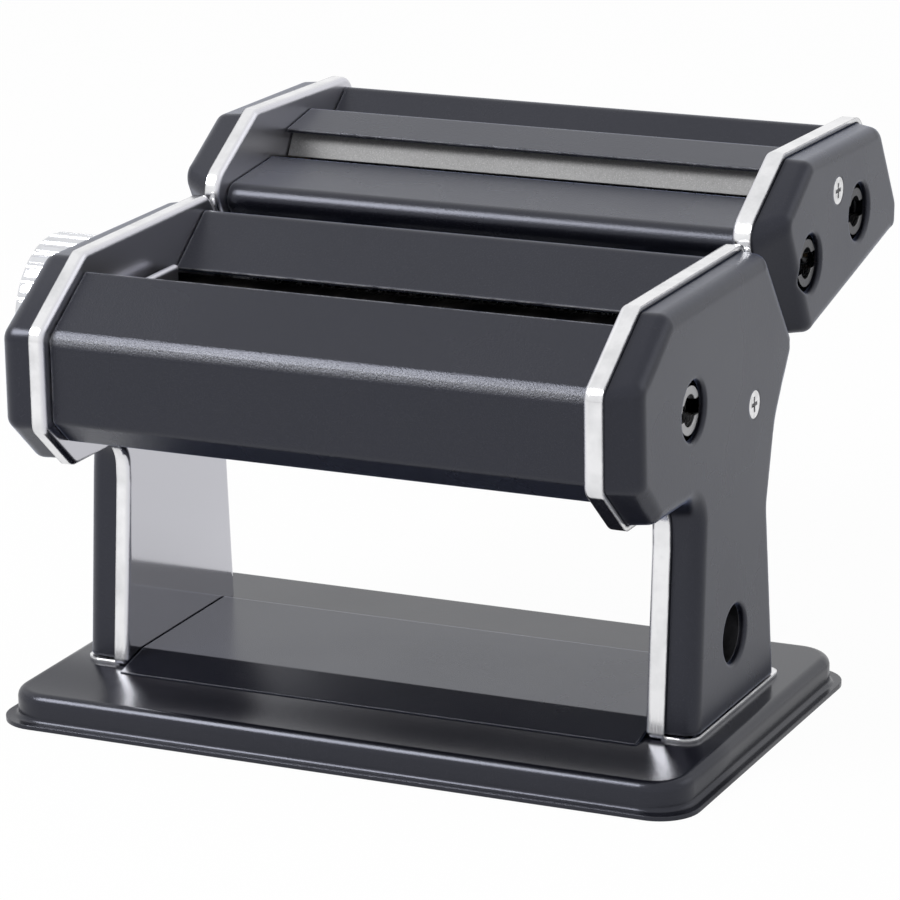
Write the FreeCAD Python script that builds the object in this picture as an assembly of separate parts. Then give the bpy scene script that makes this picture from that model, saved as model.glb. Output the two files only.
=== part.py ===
"""Hand-cranked pasta roller machine with a lift-off cutter unit.

Two steel rollers turn between chromed side plates on a pressed base. The rear roller rides on an
eccentric shaft that the knob turns, which sets the thickness. A cutter unit with a narrow and a wide
pair of cutters hangs on rails at the back. X runs along the rollers, Y from front to back, Z up.
"""
import FreeCAD, Part
import math
import os

V = FreeCAD.Vector

# Sheet metal and covers
PLATE_T = 1.2            # side plates
FLANGE_DEPTH = 5.4       # right plates' inner face to the flange's free edge
LEFT_FLANGE_DEPTH = 4.0  # and the left plates'
FLANGE_BEND = 1.6        # outside radius of the flange's bend
SHEET_T = 1.0            # folded covers and trays
SHEET_BEND = 1.6         # inside radius of their folds
SHEET_INSET = 3.6        # folded covers behind the plates' outline
SHEET_END_GAP = 0.4      # folded covers to the side plates
COVER_DEPTH = 13.5       # plate's inner face to the cover's outer face
COVER_WALL = 2.0
COVER_GAP = 0.35         # cover to the flange around it
COVER_SOFT_EDGE = 4.0    # rounding of the main covers' outer faces
CUT_SOFT_EDGE = 3.2      # and of the cutter unit's
CORNER_LEAST = 0.6       # tightest corner of an inset outline
COVER_FOOT_GAP = 0.6     # cover's open foot above the foot flange
COVER_HOLE_EDGE = 0.9    # rounding of the round holes in the covers

# Base
BASE_W = 200.6
BASE_D = 123.6
BASE_H = 8.8
BASE_T = 1.2
BASE_CORNER = 10.8       # of the raised middle
LIP_CORNER = 11.0
LIP_W = 2.6              # flat lip outside the raised middle
BASE_TOP_ROUND = 2.6
BASE_LIP_ROUND = 1.2
TRAY_RISE = 3.2          # tray's top above the base
TRAY_FRONT_Y = -34.0
TRAY_RAMP = 13.5         # depth of its front ramp
TRAY_REAR_Y = 28.0
TRAY_TAIL = 4.0          # depth of its rear ramp
TRAY_EDGE = 0.4          # thickness left at the ramps' ends
FOOT_REACH = 0.4         # foot flange past the cover's outer face
FOOT_SHORT = 1.0         # foot flange's ends behind the leg's edges

# Outline of the main side plate
BODY_TOP_Z = 128.5
SLANT_TOP_Y = -43.2
BODY_FRONT_Y = -68.0
SLANT_LOW_Z = 112.5
CHAMFER_HIGH_Z = 86.0
CHAMFER_LOW_Y = -53.0
BELLY_Z = 72.6
LEG_FRONT_Y = -24.2
LEG_KNEE_Z = 60.0
LEG_FRONT_FOOT_Y = -29.3
LEG_REAR_FOOT_Y = 35.2
WAIST_Y = 32.6
WAIST_Z = 61.0
HIP_Y = 36.5
HIP_Z = 84.0
NOSE_LOW_Z = 96.0
NOSE_HIGH_Z = 101.6
SEAT_TOP_Y = 26.8        # where the sloping seat for the cutter unit meets the top
SEAT_RUN = 0.70          # seat's run to the back for each unit down

# Rollers and thickness setting
ROLLER_LEN = 150.0
ROLLER_D = 27.5
ROLLER_END_PLAY = 1.0    # roller's end to the side plate
ROLLER_Y = -27.4         # front roller's axis
ROLLER_Z = 98.2
GAP_LEAST = 0.5          # between the rollers at the finest setting
ECCENTRICITY = 1.0       # half of the gap's travel
RUNNING_FIT = 0.05       # radial, shaft in bush
SEAT_FIT = 0.02          # radial, pressed or pinned pieces
JOURNAL_R = 6.45
SOCKET_BORE_R = 4.25
SOCKET_DEPTH = 18.0
SOCKET_SLOT_W = 4.4
SOCKET_SLOT_DEPTH = 3.6
SOCKET_RECESS = 1.3      # socket's end behind the cover's outer face
SOCKET_HOLE_R = 8.0
BUSH_WALL = 1.9
BUSH_FLANGE_W = 2.0
BUSH_FLANGE_T = 0.7
BUSH_LEN = 2.4           # outwards from the plate's inner face
SHAFT_R = 5.0            # eccentric shaft inside the rear roller
SHAFT_JOURNAL_R = 3.9
FLOAT_WALL = 1.4         # floating bushes between shaft and roller
FLOAT_LEN = 16.0
HUB_WALL = 1.9           # rear roller's hub in its gear

# Gears
ROLLER_GEAR_W = 5.6
CUTTER_GEAR_W = 3.2
GEAR_STANDOFF = 1.6      # gear's face to the side plate
ROLLER_TEETH = 10
ROLLER_TOOTH_SHARE = 0.36
ROLLER_ADDENDUM = 0.85
ROLLER_DEDENDUM = 1.35
CUTTER_TEETH = 12
CUTTER_TOOTH_SHARE = 0.43
CUTTER_ADDENDUM = 0.75
CUTTER_DEDENDUM = 1.25
PRESSURE_ANGLE = math.radians(20.0)
CIRCLIP_W = 1.0
CIRCLIP_R = 8.6
CIRCLIP_GROOVE = 0.6
CIRCLIP_MOUTH = 2.9

# Knob
KNOB_R = 22.0
KNOB_LEN = 21.2
KNOB_STANDOFF = 0.8      # knob to the index plate
KNOB_SKIRT_R = 21.0
KNOB_SKIRT_LEN = 5.0
KNOB_FLUTES = 30
KNOB_FLUTE_R = 1.5
KNOB_FLUTE_DEPTH = 0.75
KNOB_FLUTE_START = 1.5   # from the skirt's end
KNOB_EDGE = 1.2
KNOB_FLOOR = 6.0         # thickness behind the spring's well
KNOB_TRAVEL = 4.0
SHAFT_FLAT = 1.0         # depth of the flat that turns the shaft
INDEX_R = 20.0
INDEX_T = 1.0
DETENT_ORBIT = 15.0
DETENT_R = 1.5
DETENT_SLOT_GAP = 0.35
DETENT_TIP_GAP = 0.4
WELL_R = 9.2
CAP_T = 2.0
CAP_RECESS = 1.5         # cap's face behind the knob's end
SPRING_R = 6.8
SPRING_WIRE_R = 0.6
SPRING_TURNS = 5
SPRING_END_GAP = 0.2

# Hopper, guides and scrapers
FRONT_TOP_EDGE_Y = -44.3
FRONT_FOLD_Z = 80.4      # lower fold on the chamfer
FRONT_RETURN_Y = -49.0
HOPPER_LOW_Y = 5.8
HOPPER_LOW_GAP = 0.9     # hopper plate's lower edge above the rear roller's top
HOPPER_TOP_DROP = 2.6    # hopper plate's top below the plates' top
REAR_COVER_LOW_Z = 78.0
GUIDE_T = 2.2
GUIDE_EDGE = 0.9         # rounding along the guide's top
GUIDE_INSET = 3.4        # guide's outer face to the side plate
GUIDE_TOP_RISE = 4.2     # guide's top above the rollers
GUIDE_HALF_W = 9.4
GUIDE_ROLLER_GAP = 0.5
GUIDE_STUD_R = 2.0
SCRAPER_T = 0.8
SCRAPER_W = 15.0
SCRAPER_GAP = 0.3
SCRAPER_HEIGHT_SHARE = 0.94   # scraper's top below the axis, as a share of the roller's radius

# Tie rods and fasteners
ROD_R = 3.0
ROD_SCREW_R = 1.6
ROD_SCREW_DEPTH = 8.0
ROD_HEAD_R = 3.6
ROD_HEAD_T = 2.2
SCRAPER_ROD_BACK = 4.0   # rod's axis to the scraper's outer edge
FRONT_ROD_Y = -54.0
FRONT_ROD_Z = 104.0
REAR_ROD_Y = 31.0
REAR_ROD_Z = 104.0
POST_R = 2.6
COVER_SCREW_HEAD_R = 3.75
COVER_SCREW_HEAD_T = 1.1
COVER_SCREW_R = 1.5
COVER_SCREW_DEPTH = 6.0
COVER_SCREW_RECESS = 0.6
CROSS_W = 1.1            # cross recess in the screw heads
CROSS_SPAN = 4.2
CROSS_DEPTH = 0.8
COVER_SCREW_Y = 14.6
COVER_SCREW_Z = 88.9
LEFT_SCREW_Y = 25.0      # moved back on the left, clear of the gears
BASE_SCREW_R = 2.0
BASE_SCREW_HEAD_R = 3.2
BASE_SCREW_HEAD_T = 2.4
BASE_SCREW_X_IN = 5.8    # from the plate's inner face outwards
BASE_SCREW_Y_IN = 12.0   # from the leg's edge
BASE_NUT_AF = 7.0
BASE_NUT_T = 3.0
CLAMP_Y = 0.8
CLAMP_RISE = 21.2        # clamp hole's axis above the base
CLAMP_R = 8.0
CLAMP_SLEEVE_WALL = 1.2

# Cutter unit
CUT_TOP_FRONT = (57.0, 146.3)
CUT_TOP_REAR = (116.5, 144.6)
CUT_REAR_HIGH = (128.0, 121.0)
CUT_REAR_LOW = (127.5, 112.5)
CUT_FLOOR_Z = 95.2
CUT_BROW_Z = 129.5
SEAT_GAP = 1.6           # cutter unit's plates to the main plates, square to the seat
CUT_AXIS_DRIVE = (56.1, 117.1)
CUT_TILT = math.radians(8.8)
CUT_PAIR_PITCH = 38.05   # driven narrow cutter to driven wide cutter
CUT_CENTRES = 16.6       # between the two cutters of a pair
CUT_RING_R = 9.0
CUT_GROOVE_R = 7.0
CUT_SIDE_GAP = 0.15      # ring to groove, each side
NARROW_CUT = 1.5
WIDE_CUT = 6.5
CUT_END = 2.5            # plain end of a cutter, at least
CUT_JOURNAL_R = 4.5
COMB_T = 0.8
COMB_REACH = 14.0        # comb's outer edge from the cutter's axis
COMB_GAP = 0.4
COMB_LEAN = math.radians(10.0)
COMB_TOOTH_SHARE = 0.66  # tooth's width in the groove's width
CUT_SCREW_Y = 76.9
CUT_SCREW_Z = 132.5
CUT_ROD_R = 2.4
CUT_ROD_LOW = (83.6, 110.8)
CUT_ROD_HIGH = (83.6, 133.6)
CUT_ROD_FRONT = (42.5, 124.0)
CUT_FLAT_REAR = (92.2, 140.6)
CUT_FLAT_FRONT = (74.2, 137.3)
CUT_FLAT_LIP = 5.0
STRIP_DROP = 6.4         # grey strip's height
STRIP_LEAN = 4.0         # and how far its foot stands forward
STRIP_GAP = 0.3
CUT_FRONT_EDGE = (64.6, 131.4)
CUT_BULLNOSE = (38.0, 128.4)
CUT_BULLNOSE_R = 4.2
CUT_FRONT_LOW_Z = 106.0
CUT_REAR_LIP = (101.0, 133.4)
CUT_REAR_CREST = (114.4, 143.0)
CUT_REAR_LOW_Z = 114.5

# Rails between the main body and the cutter unit
RAIL_X = 45.0
RAIL_W = 18.0
RAIL_H = 4.6
RAIL_T = 1.2
RAIL_LIP = 5.0
RAIL_LEN = 15.0
RAIL_LOW_Z = 103.0
TONGUE_GAP = 0.4
TONGUE_T = 1.4

# Values worked out from those above
PLATE_X = ROLLER_LEN / 2 + ROLLER_END_PLAY
PLATE_OUT_X = PLATE_X + PLATE_T
FACE_X = PLATE_X + COVER_DEPTH
COVER_IN_X = FACE_X - COVER_WALL
SHEET_X = PLATE_X - SHEET_END_GAP
ROLLER_R = ROLLER_D / 2
KNOB_Y = ROLLER_Y + ROLLER_D + GAP_LEAST + ECCENTRICITY
REAR_ROLLER_Y = KNOB_Y + ECCENTRICITY
FOOT_Z = BASE_H + PLATE_T
CLAMP_Z = BASE_H + CLAMP_RISE
NARROW_RINGS = int((ROLLER_LEN - 2 * CUT_END) / (2 * NARROW_CUT))
WIDE_RINGS = int((ROLLER_LEN - 2 * CUT_END) / (2 * WIDE_CUT))
INDEX_X = FACE_X + INDEX_T
KNOB_X = INDEX_X + KNOB_STANDOFF
KNOB_END_X = KNOB_X + KNOB_LEN
GEAR_X = PLATE_OUT_X + GEAR_STANDOFF
ROLLER_GEAR_END = GEAR_X + ROLLER_GEAR_W
SOCKET_END_X = FACE_X - SOCKET_RECESS
FLOAT_R = SHAFT_R + FLOAT_WALL
HUB_R = FLOAT_R + RUNNING_FIT + HUB_WALL
SEAT_NORMAL = 1.0 / math.hypot(1.0, SEAT_RUN)
# The frame's origin is the middle of the overall box, on the table
ORIGIN = V((BASE_W / 2 - KNOB_END_X) / 2, (BODY_FRONT_Y + CUT_REAR_HIGH[0]) / 2, 0.0)


def flat(a, b):
    """Difference of two (y, z) points."""
    return (b[0] - a[0], b[1] - a[1])


def unit(v):
    size = math.hypot(v[0], v[1])
    return (v[0] / size, v[1] / size)


def along(p, direction, distance):
    return (p[0] + direction[0] * distance, p[1] + direction[1] * distance)


def crossing(a, u, b, v):
    """Where the line through a along u meets the line through b along v."""
    det = u[0] * v[1] - u[1] * v[0]
    w = flat(a, b)
    return along(a, u, (w[0] * v[1] - w[1] * v[0]) / det)


def inset(points, distance):
    """A closed outline moved inwards; the points run anticlockwise seen from +X."""
    count = len(points)
    lines = []
    for i in range(count):
        d = unit(flat(points[i], points[(i + 1) % count]))
        lines.append((along(points[i], (-d[1], d[0]), distance), d))
    return [crossing(*lines[i - 1], *lines[i]) for i in range(count)]


def inset_radii(points, radii, distance):
    """Corner radii of the inset outline: tighter outside corners, wider inside ones."""
    moved = []
    for i, p in enumerate(points):
        u, v = flat(points[i - 1], p), flat(p, points[(i + 1) % len(points)])
        outside = u[0] * v[1] - u[1] * v[0] > 0
        moved.append(max(radii[i] - distance, CORNER_LEAST) if outside else radii[i] + distance)
    return moved


def beside(points, distance):
    """An open line moved to its left."""
    dirs = [unit(flat(a, b)) for a, b in zip(points, points[1:])]
    moved = [along(p, (-d[1], d[0]), distance) for p, d in zip(points, dirs)]
    inner = [crossing(moved[i], dirs[i], moved[i + 1], dirs[i + 1]) for i in range(len(dirs) - 1)]
    last = along(points[-1], (-dirs[-1][1], dirs[-1][0]), distance)
    return [moved[0]] + inner + [last]


def outline_wire(points, radii, x):
    """Closed wire at X = x through (y, z) points, with each corner rounded by its own radius."""
    count = len(points)
    corners = []
    for i, p in enumerate(points):
        back = unit(flat(p, points[i - 1]))
        ahead = unit(flat(p, points[(i + 1) % count]))
        if radii[i] <= 0.0:
            corners.append((p, None, p))
            continue
        half = math.acos(max(-1.0, min(1.0, back[0] * ahead[0] + back[1] * ahead[1]))) / 2
        run = radii[i] / math.tan(half)
        middle = unit((back[0] + ahead[0], back[1] + ahead[1]))
        depth = radii[i] / math.sin(half) - radii[i]
        corners.append((along(p, back, run), along(p, middle, depth), along(p, ahead, run)))
    edges = []
    for i, (start, mid, end) in enumerate(corners):
        if mid:
            edges.append(Part.Arc(V(x, *start), V(x, *mid), V(x, *end)).toShape())
        nearest = corners[(i + 1) % count][0]
        edges.append(Part.LineSegment(V(x, *end), V(x, *nearest)).toShape())
    return Part.Wire(edges)


def slab(points, radii, x0, x1):
    """Rounded outline drawn out along X."""
    return Part.Face(outline_wire(points, radii, x0)).extrude(V(x1 - x0, 0, 0))


def folded_sheet(points, half_length=None, thickness=None, bend=None):
    """Sheet bent along an open (y, z) line; its thickness lies to the line's left."""
    half_length = half_length or SHEET_X
    thickness = thickness or SHEET_T
    bend = bend or SHEET_BEND
    left = beside(points, thickness)
    near, far = [0.0], [0.0]
    for a, b, c in zip(points, points[1:], points[2:]):
        u, v = flat(a, b), flat(b, c)
        turns_left = u[0] * v[1] - u[1] * v[0] > 0
        near.append(bend + thickness if turns_left else bend)
        far.append(bend if turns_left else bend + thickness)
    near.append(0.0)
    far.append(0.0)
    return slab(points + left[::-1], near + far[::-1], -half_length, half_length)


def rod(r, x0, x1, axis):
    """Round bar along X on a (y, z) axis."""
    return Part.makeCylinder(r, abs(x1 - x0), V(min(x0, x1), *axis), V(1, 0, 0))


def tube(r_in, r_out, x0, x1, axis):
    return rod(r_out, x0, x1, axis).cut(rod(r_in, min(x0, x1) - 1, max(x0, x1) + 1, axis))


def turned(profile, axis):
    """Solid turned about an axis along X from a closed (x, r) profile."""
    points = [V(x, axis[0], axis[1] + r) for x, r in profile]
    face = Part.Face(Part.makePolygon(points + points[:1]))
    return face.revolve(V(0, *axis), V(1, 0, 0), 360)


def to_left(shape):
    return shape.mirror(V(0, 0, 0), V(1, 0, 0))


def sided(shape, side):
    """A piece built for the right, side 1, or its mirror image for the left, side -1."""
    return shape if side > 0 else to_left(shape)


def both_sides(shape):
    return Part.makeCompound([to_left(shape), shape])


def turn_about(shape, axis, degrees):
    """Turned about an axis along X, from +Y towards +Z."""
    turned_shape = shape.copy()
    turned_shape.rotate(V(0, *axis), V(1, 0, 0), degrees)
    return turned_shape


# Axes
FRONT_AXIS = (ROLLER_Y, ROLLER_Z)
KNOB_AXIS = (KNOB_Y, ROLLER_Z)
REAR_AXIS = (REAR_ROLLER_Y, ROLLER_Z)
CUT_DIR = (math.cos(CUT_TILT), math.sin(CUT_TILT))
NARROW_DRIVE = CUT_AXIS_DRIVE
NARROW_IDLE = along(NARROW_DRIVE, CUT_DIR, CUT_CENTRES)
WIDE_DRIVE = along(NARROW_DRIVE, CUT_DIR, CUT_PAIR_PITCH)
WIDE_IDLE = along(WIDE_DRIVE, CUT_DIR, CUT_CENTRES)
SEAT_DOWN = unit((SEAT_RUN, -1.0))


def seat_y(z, gap=0.0):
    """Sloping seat's y at a height, moved to the back by a gap square to it."""
    return SEAT_TOP_Y + SEAT_RUN * (BODY_TOP_Z - z) + gap / SEAT_NORMAL


# The main plate's outline, anticlockwise seen from the right, and its corner radii
MAIN_OUTLINE = [
    (SLANT_TOP_Y, BODY_TOP_Z), (BODY_FRONT_Y, SLANT_LOW_Z), (BODY_FRONT_Y, CHAMFER_HIGH_Z),
    (CHAMFER_LOW_Y, BELLY_Z), (LEG_FRONT_Y, BELLY_Z), (LEG_FRONT_Y, LEG_KNEE_Z),
    (LEG_FRONT_FOOT_Y, BASE_H), (LEG_REAR_FOOT_Y, BASE_H), (WAIST_Y, WAIST_Z), (HIP_Y, HIP_Z),
    (seat_y(NOSE_HIGH_Z), NOSE_LOW_Z), (seat_y(NOSE_HIGH_Z), NOSE_HIGH_Z), (SEAT_TOP_Y, BODY_TOP_Z)]
MAIN_RADII = [4.0, 5.0, 4.0, 4.0, 8.0, 12.0, 2.0, 2.0, 14.0, 12.0, 2.6, 2.6, 3.0]
# How far each corner of a cover's outer face lies from the plate's corner; the left is fuller in front
RIGHT_DRAFT = [
    (1.0, -1.6), (6.6, 0.1), (7.5, 0.2), (3.4, 1.6), (3.7, 0.2), (1.4, 0.5), (2.4, 1.5), (-5.2, 1.5),
    (-8.4, -3.0), (-6.4, -7.6), (-2.4, 0.2), (-2.4, -0.7), (-2.9, -1.4)]
LEFT_DRAFT = [(1.4, -2.0), (0.6, -0.9), (0.6, 0.3), (-0.4, 1.0)] + RIGHT_DRAFT[4:12] + [(-2.6, -2.7)]
MAIN_FACE_RADII = [5.0, 6.0, 5.0, 5.0, 6.0, 12.0, 5.0, 5.0, 12.0, 14.0, 4.4, 4.4, 4.6]

CUT_OUTLINE = [
    CUT_TOP_FRONT, (seat_y(CUT_BROW_Z, SEAT_GAP), CUT_BROW_Z),
    (seat_y(CUT_FLOOR_Z, SEAT_GAP), CUT_FLOOR_Z), CUT_REAR_LOW, CUT_REAR_HIGH, CUT_TOP_REAR]
CUT_RADII = [4.0, 8.0, 5.0, 4.0, 5.0, 7.0]
CUT_DRAFT = [(-0.8, -1.6), (10.7, 2.7), (4.2, 2.0), (-3.5, -2.3), (-3.4, -2.2), (-6.4, -1.3)]
LEFT_CUT_DRAFT = [(0.2, -2.4), (8.6, 2.4), (3.2, 2.0)] + CUT_DRAFT[3:]
CUT_FACE_RADII = [5.0, 5.0, 5.0, 5.0, 6.0, 7.0]


def face_edges(shape, x):
    """Edges that lie in the plane X = x."""
    return [e for e in shape.Edges if max(abs(e.BoundBox.XMin - x), abs(e.BoundBox.XMax - x)) < 1e-4]


def flange_x(side):
    return PLATE_X + (FLANGE_DEPTH if side > 0 else LEFT_FLANGE_DEPTH)


def plate_pan(points, radii, side):
    """Side plate, drawn on the right: a flat web with a flange turned outwards all round."""
    outer = slab(points, radii, PLATE_X, flange_x(side))
    outer = outer.makeFillet(FLANGE_BEND, face_edges(outer, PLATE_X))
    inner, inner_radii = inset(points, PLATE_T), inset_radii(points, radii, PLATE_T)
    pocket = slab(inner, inner_radii, PLATE_OUT_X, flange_x(side) + 1)
    pocket = pocket.makeFillet(FLANGE_BEND - PLATE_T, face_edges(pocket, PLATE_OUT_X))
    return outer.cut(pocket)


def cover_block(points, radii, draft, face_radii, shrink, x_face, side):
    """Closed block under a drafted cover's skin, shrunk all round by a wall."""
    face = [(p[0] + d[0], p[1] + d[1]) for p, d in zip(points, draft)]
    behind = PLATE_T + COVER_GAP + shrink
    rim = inset(points, behind)
    rim_radii = inset_radii(points, radii, behind)
    rim_low = outline_wire(rim, rim_radii, PLATE_X + FLANGE_BEND - (1.0 if shrink else 0.0))
    rim_high = outline_wire(rim, rim_radii, flange_x(side))
    top = outline_wire(inset(face, shrink), face_radii, x_face)
    return Part.makeLoft([rim_low, rim_high, top], True, True)


def cover_shell(points, radii, draft, face_radii, soft_edge, side):
    """Cover, drawn on the right: a drafted shell with a softly rounded outer face."""
    skin = cover_block(points, radii, draft, face_radii, 0.0, FACE_X, side)
    skin = skin.makeFillet(soft_edge, face_edges(skin, FACE_X))
    return skin.cut(cover_block(points, radii, draft, face_radii, COVER_WALL, COVER_IN_X, side))


def bored(shape, holes, side):
    """Round holes along X through a side piece, as (axis, radius) pairs."""
    for axis, r in holes:
        shape = shape.cut(rod(r, side * (PLATE_X - 1), side * (FACE_X + 1), axis))
    return shape


def holed_cover(shape, holes, side):
    """Round holes in a cover, softened where they open in its outer face."""
    shape = bored(shape, holes, side)
    for axis, r in holes:
        ring = FreeCAD.BoundBox(-FACE_X - 1, axis[0] - r, axis[1] - r, FACE_X + 1, axis[0] + r, axis[1] + r)
        ring.enlarge(CORNER_LEAST)
        rim = [e for e in face_edges(shape, side * FACE_X) if ring.isInside(e.BoundBox)]
        shape = shape.makeFillet(COVER_HOLE_EDGE, rim)
    return shape


def bush(r_in, axis, side, length=None):
    """Flanged bush pressed into a side plate from the inside."""
    length = length or BUSH_LEN
    r_out = r_in + BUSH_WALL
    body = rod(r_out, PLATE_X, PLATE_X + length, axis)
    body = body.fuse(rod(r_out + BUSH_FLANGE_W, PLATE_X - BUSH_FLANGE_T, PLATE_X, axis))
    body = body.cut(rod(r_in, PLATE_X - 2, FACE_X, axis))
    return sided(body.removeSplitter(), side)


def bush_hole(r_in):
    return r_in + BUSH_WALL + SEAT_FIT


def cross_recess(x_face, axis):
    """Cross cut into a screw's head at X = x_face, from outside."""
    half = CROSS_SPAN / 2
    bars = []
    for dy, dz in ((half, CROSS_W / 2), (CROSS_W / 2, half)):
        corner = V(x_face - CROSS_DEPTH, axis[0] - dy, axis[1] - dz)
        bars.append(Part.makeBox(CROSS_DEPTH + 1, 2 * dy, 2 * dz, corner))
    return bars[0].fuse(bars[1])


def cover_screw(axis, side):
    """Countersunk screw through a cover's face into its post."""
    top = FACE_X
    neck = top - COVER_SCREW_RECESS - COVER_SCREW_HEAD_T
    profile = [
        (top, 0), (top, COVER_SCREW_HEAD_R), (top - COVER_SCREW_RECESS, COVER_SCREW_HEAD_R),
        (neck, COVER_SCREW_R), (COVER_IN_X - COVER_SCREW_DEPTH, COVER_SCREW_R),
        (COVER_IN_X - COVER_SCREW_DEPTH, 0)]
    return sided(turned(profile, axis).cut(cross_recess(top, axis)), side)


def screw_seat(axis):
    """The countersink that a cover screw sits in."""
    top = FACE_X
    neck = top - COVER_SCREW_RECESS - COVER_SCREW_HEAD_T
    head = COVER_SCREW_HEAD_R + SEAT_FIT
    shank = COVER_SCREW_R + SEAT_FIT
    profile = [
        (top + 1, 0), (top + 1, head), (top - COVER_SCREW_RECESS, head), (neck, shank),
        (COVER_IN_X - 1, shank), (COVER_IN_X - 1, 0)]
    return turned(profile, axis)


def cover_post(axis, side):
    """Post between the side plate and the cover, tapped for the cover screw."""
    post = rod(POST_R, PLATE_OUT_X, COVER_IN_X, axis)
    post = post.cut(rod(COVER_SCREW_R + SEAT_FIT, COVER_IN_X - COVER_SCREW_DEPTH, COVER_IN_X + 1, axis))
    return sided(post, side)


def tie_rod(axis, r):
    """Rod between the side plates, tapped at both ends."""
    bar = rod(r, -PLATE_X, PLATE_X, axis)
    tap = rod(ROD_SCREW_R + SEAT_FIT, PLATE_X - ROD_SCREW_DEPTH, PLATE_X + 1, axis)
    return bar.cut(tap).cut(to_left(tap))


def tie_screw(axis):
    head = rod(ROD_HEAD_R, PLATE_OUT_X, PLATE_OUT_X + ROD_HEAD_T, axis)
    return head.fuse(rod(ROD_SCREW_R, PLATE_X - ROD_SCREW_DEPTH, PLATE_OUT_X, axis)).removeSplitter()


def gear(teeth, pitch_r, share, addendum, dedendum, bore_r, width, axis, degrees):
    """Spur gear with involute teeth; the tooth's share of the pitch leaves the backlash."""
    module = 2 * pitch_r / teeth
    base_r = pitch_r * math.cos(PRESSURE_ANGLE)
    tip_r = pitch_r + addendum * module
    root_r = pitch_r - dedendum * module
    involute = math.tan(PRESSURE_ANGLE) - PRESSURE_ANGLE
    flank = [(root_r, share * math.pi / teeth + involute)]
    steps = 4
    for i in range(steps + 1):
        r = base_r + (tip_r - base_r) * i / steps
        slope = math.acos(min(1.0, base_r / r))
        flank.append((r, share * math.pi / teeth + involute - (math.tan(slope) - slope)))
    points = []
    for tooth in range(teeth):
        middle = 2 * math.pi * tooth / teeth
        for r, a in flank:
            points.append((r, middle - a))
        for r, a in reversed(flank):
            points.append((r, middle + a))
    wire = [V(GEAR_X, axis[0] + r * math.cos(a), axis[1] + r * math.sin(a)) for r, a in points]
    body = Part.Face(Part.makePolygon(wire + wire[:1])).extrude(V(width, 0, 0))
    body = body.cut(rod(bore_r, GEAR_X - 1, GEAR_X + width + 1, axis))
    return to_left(turn_about(body, axis, degrees))


def drive_end(shape, axis):
    """Crank socket in a roller's right-hand end: a blind bore with a cross slot."""
    shape = shape.cut(rod(SOCKET_BORE_R, SOCKET_END_X - SOCKET_DEPTH, SOCKET_END_X + 1, axis))
    corner = V(SOCKET_END_X - SOCKET_SLOT_DEPTH, axis[0] - JOURNAL_R - 1, axis[1] - SOCKET_SLOT_W / 2)
    slot = Part.makeBox(SOCKET_SLOT_DEPTH + 1, 2 * JOURNAL_R + 2, SOCKET_SLOT_W, corner)
    return shape.cut(slot)


def base_plate():
    """Pressed base: a raised middle with rounded edges and a flat lip, hollow underneath."""
    def block(half_x, half_y, corner, z0, z1):
        points = [(-half_y, z0), (half_y, z0), (half_y, z1), (-half_y, z1)]
        solid = slab(points, [0.0] * 4, -half_x, half_x)
        uprights = [e for e in solid.Edges if e.BoundBox.ZLength > (z1 - z0) * 0.9]
        return solid.makeFillet(corner, uprights)

    def edges_at(solid, z):
        return [e for e in solid.Edges if max(abs(e.BoundBox.ZMin - z), abs(e.BoundBox.ZMax - z)) < 1e-4]

    half_x, half_y = BASE_W / 2, BASE_D / 2
    middle = block(half_x - LIP_W, half_y - LIP_W, BASE_CORNER, 0.0, BASE_H)
    middle = middle.makeFillet(BASE_TOP_ROUND, edges_at(middle, BASE_H))
    lip = block(half_x, half_y, LIP_CORNER, 0.0, BASE_T)
    pan = lip.fuse(middle).removeSplitter()
    reach_x, reach_y = half_x - LIP_W / 2, half_y - LIP_W / 2
    inner = FreeCAD.BoundBox(-reach_x, -reach_y, 0.0, reach_x, reach_y, BASE_H)
    joint = [e for e in edges_at(pan, BASE_T) if inner.isInside(e.BoundBox)]
    pan = pan.makeFillet(BASE_LIP_ROUND, joint)
    wall = LIP_W + BASE_T
    hollow = block(half_x - wall, half_y - wall, BASE_CORNER - BASE_T, -1.0, BASE_H - BASE_T)
    hollow = hollow.makeFillet(BASE_TOP_ROUND - BASE_T, edges_at(hollow, BASE_H - BASE_T))
    pan = pan.cut(hollow)
    for x, y in base_screw_places():
        hole = Part.makeCylinder(BASE_SCREW_R + SEAT_FIT, BASE_H + 2, V(x, y, -1))
        pan = pan.cut(hole)
    return pan


def base_screw_places():
    x = PLATE_X + BASE_SCREW_X_IN
    front = LEG_FRONT_FOOT_Y + BASE_SCREW_Y_IN
    rear = LEG_REAR_FOOT_Y - BASE_SCREW_Y_IN
    return [(sx * x, y) for sx in (-1, 1) for y in (front, rear)]


def base_screws():
    under = BASE_H - BASE_T
    top = FOOT_Z + BASE_NUT_T
    screws = []
    for x, y in base_screw_places():
        head = Part.makeCylinder(BASE_SCREW_HEAD_R, BASE_SCREW_HEAD_T, V(x, y, under - BASE_SCREW_HEAD_T))
        head = head.fuse(Part.makeCylinder(BASE_SCREW_R, top - under, V(x, y, under))).removeSplitter()
        slot = Part.makeBox(
            2 * BASE_SCREW_HEAD_R + 2, CROSS_W, CROSS_DEPTH,
            V(x - BASE_SCREW_HEAD_R - 1, y - CROSS_W / 2, under - BASE_SCREW_HEAD_T))
        screws.append(head.cut(slot))
    return Part.makeCompound(screws)


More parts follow.
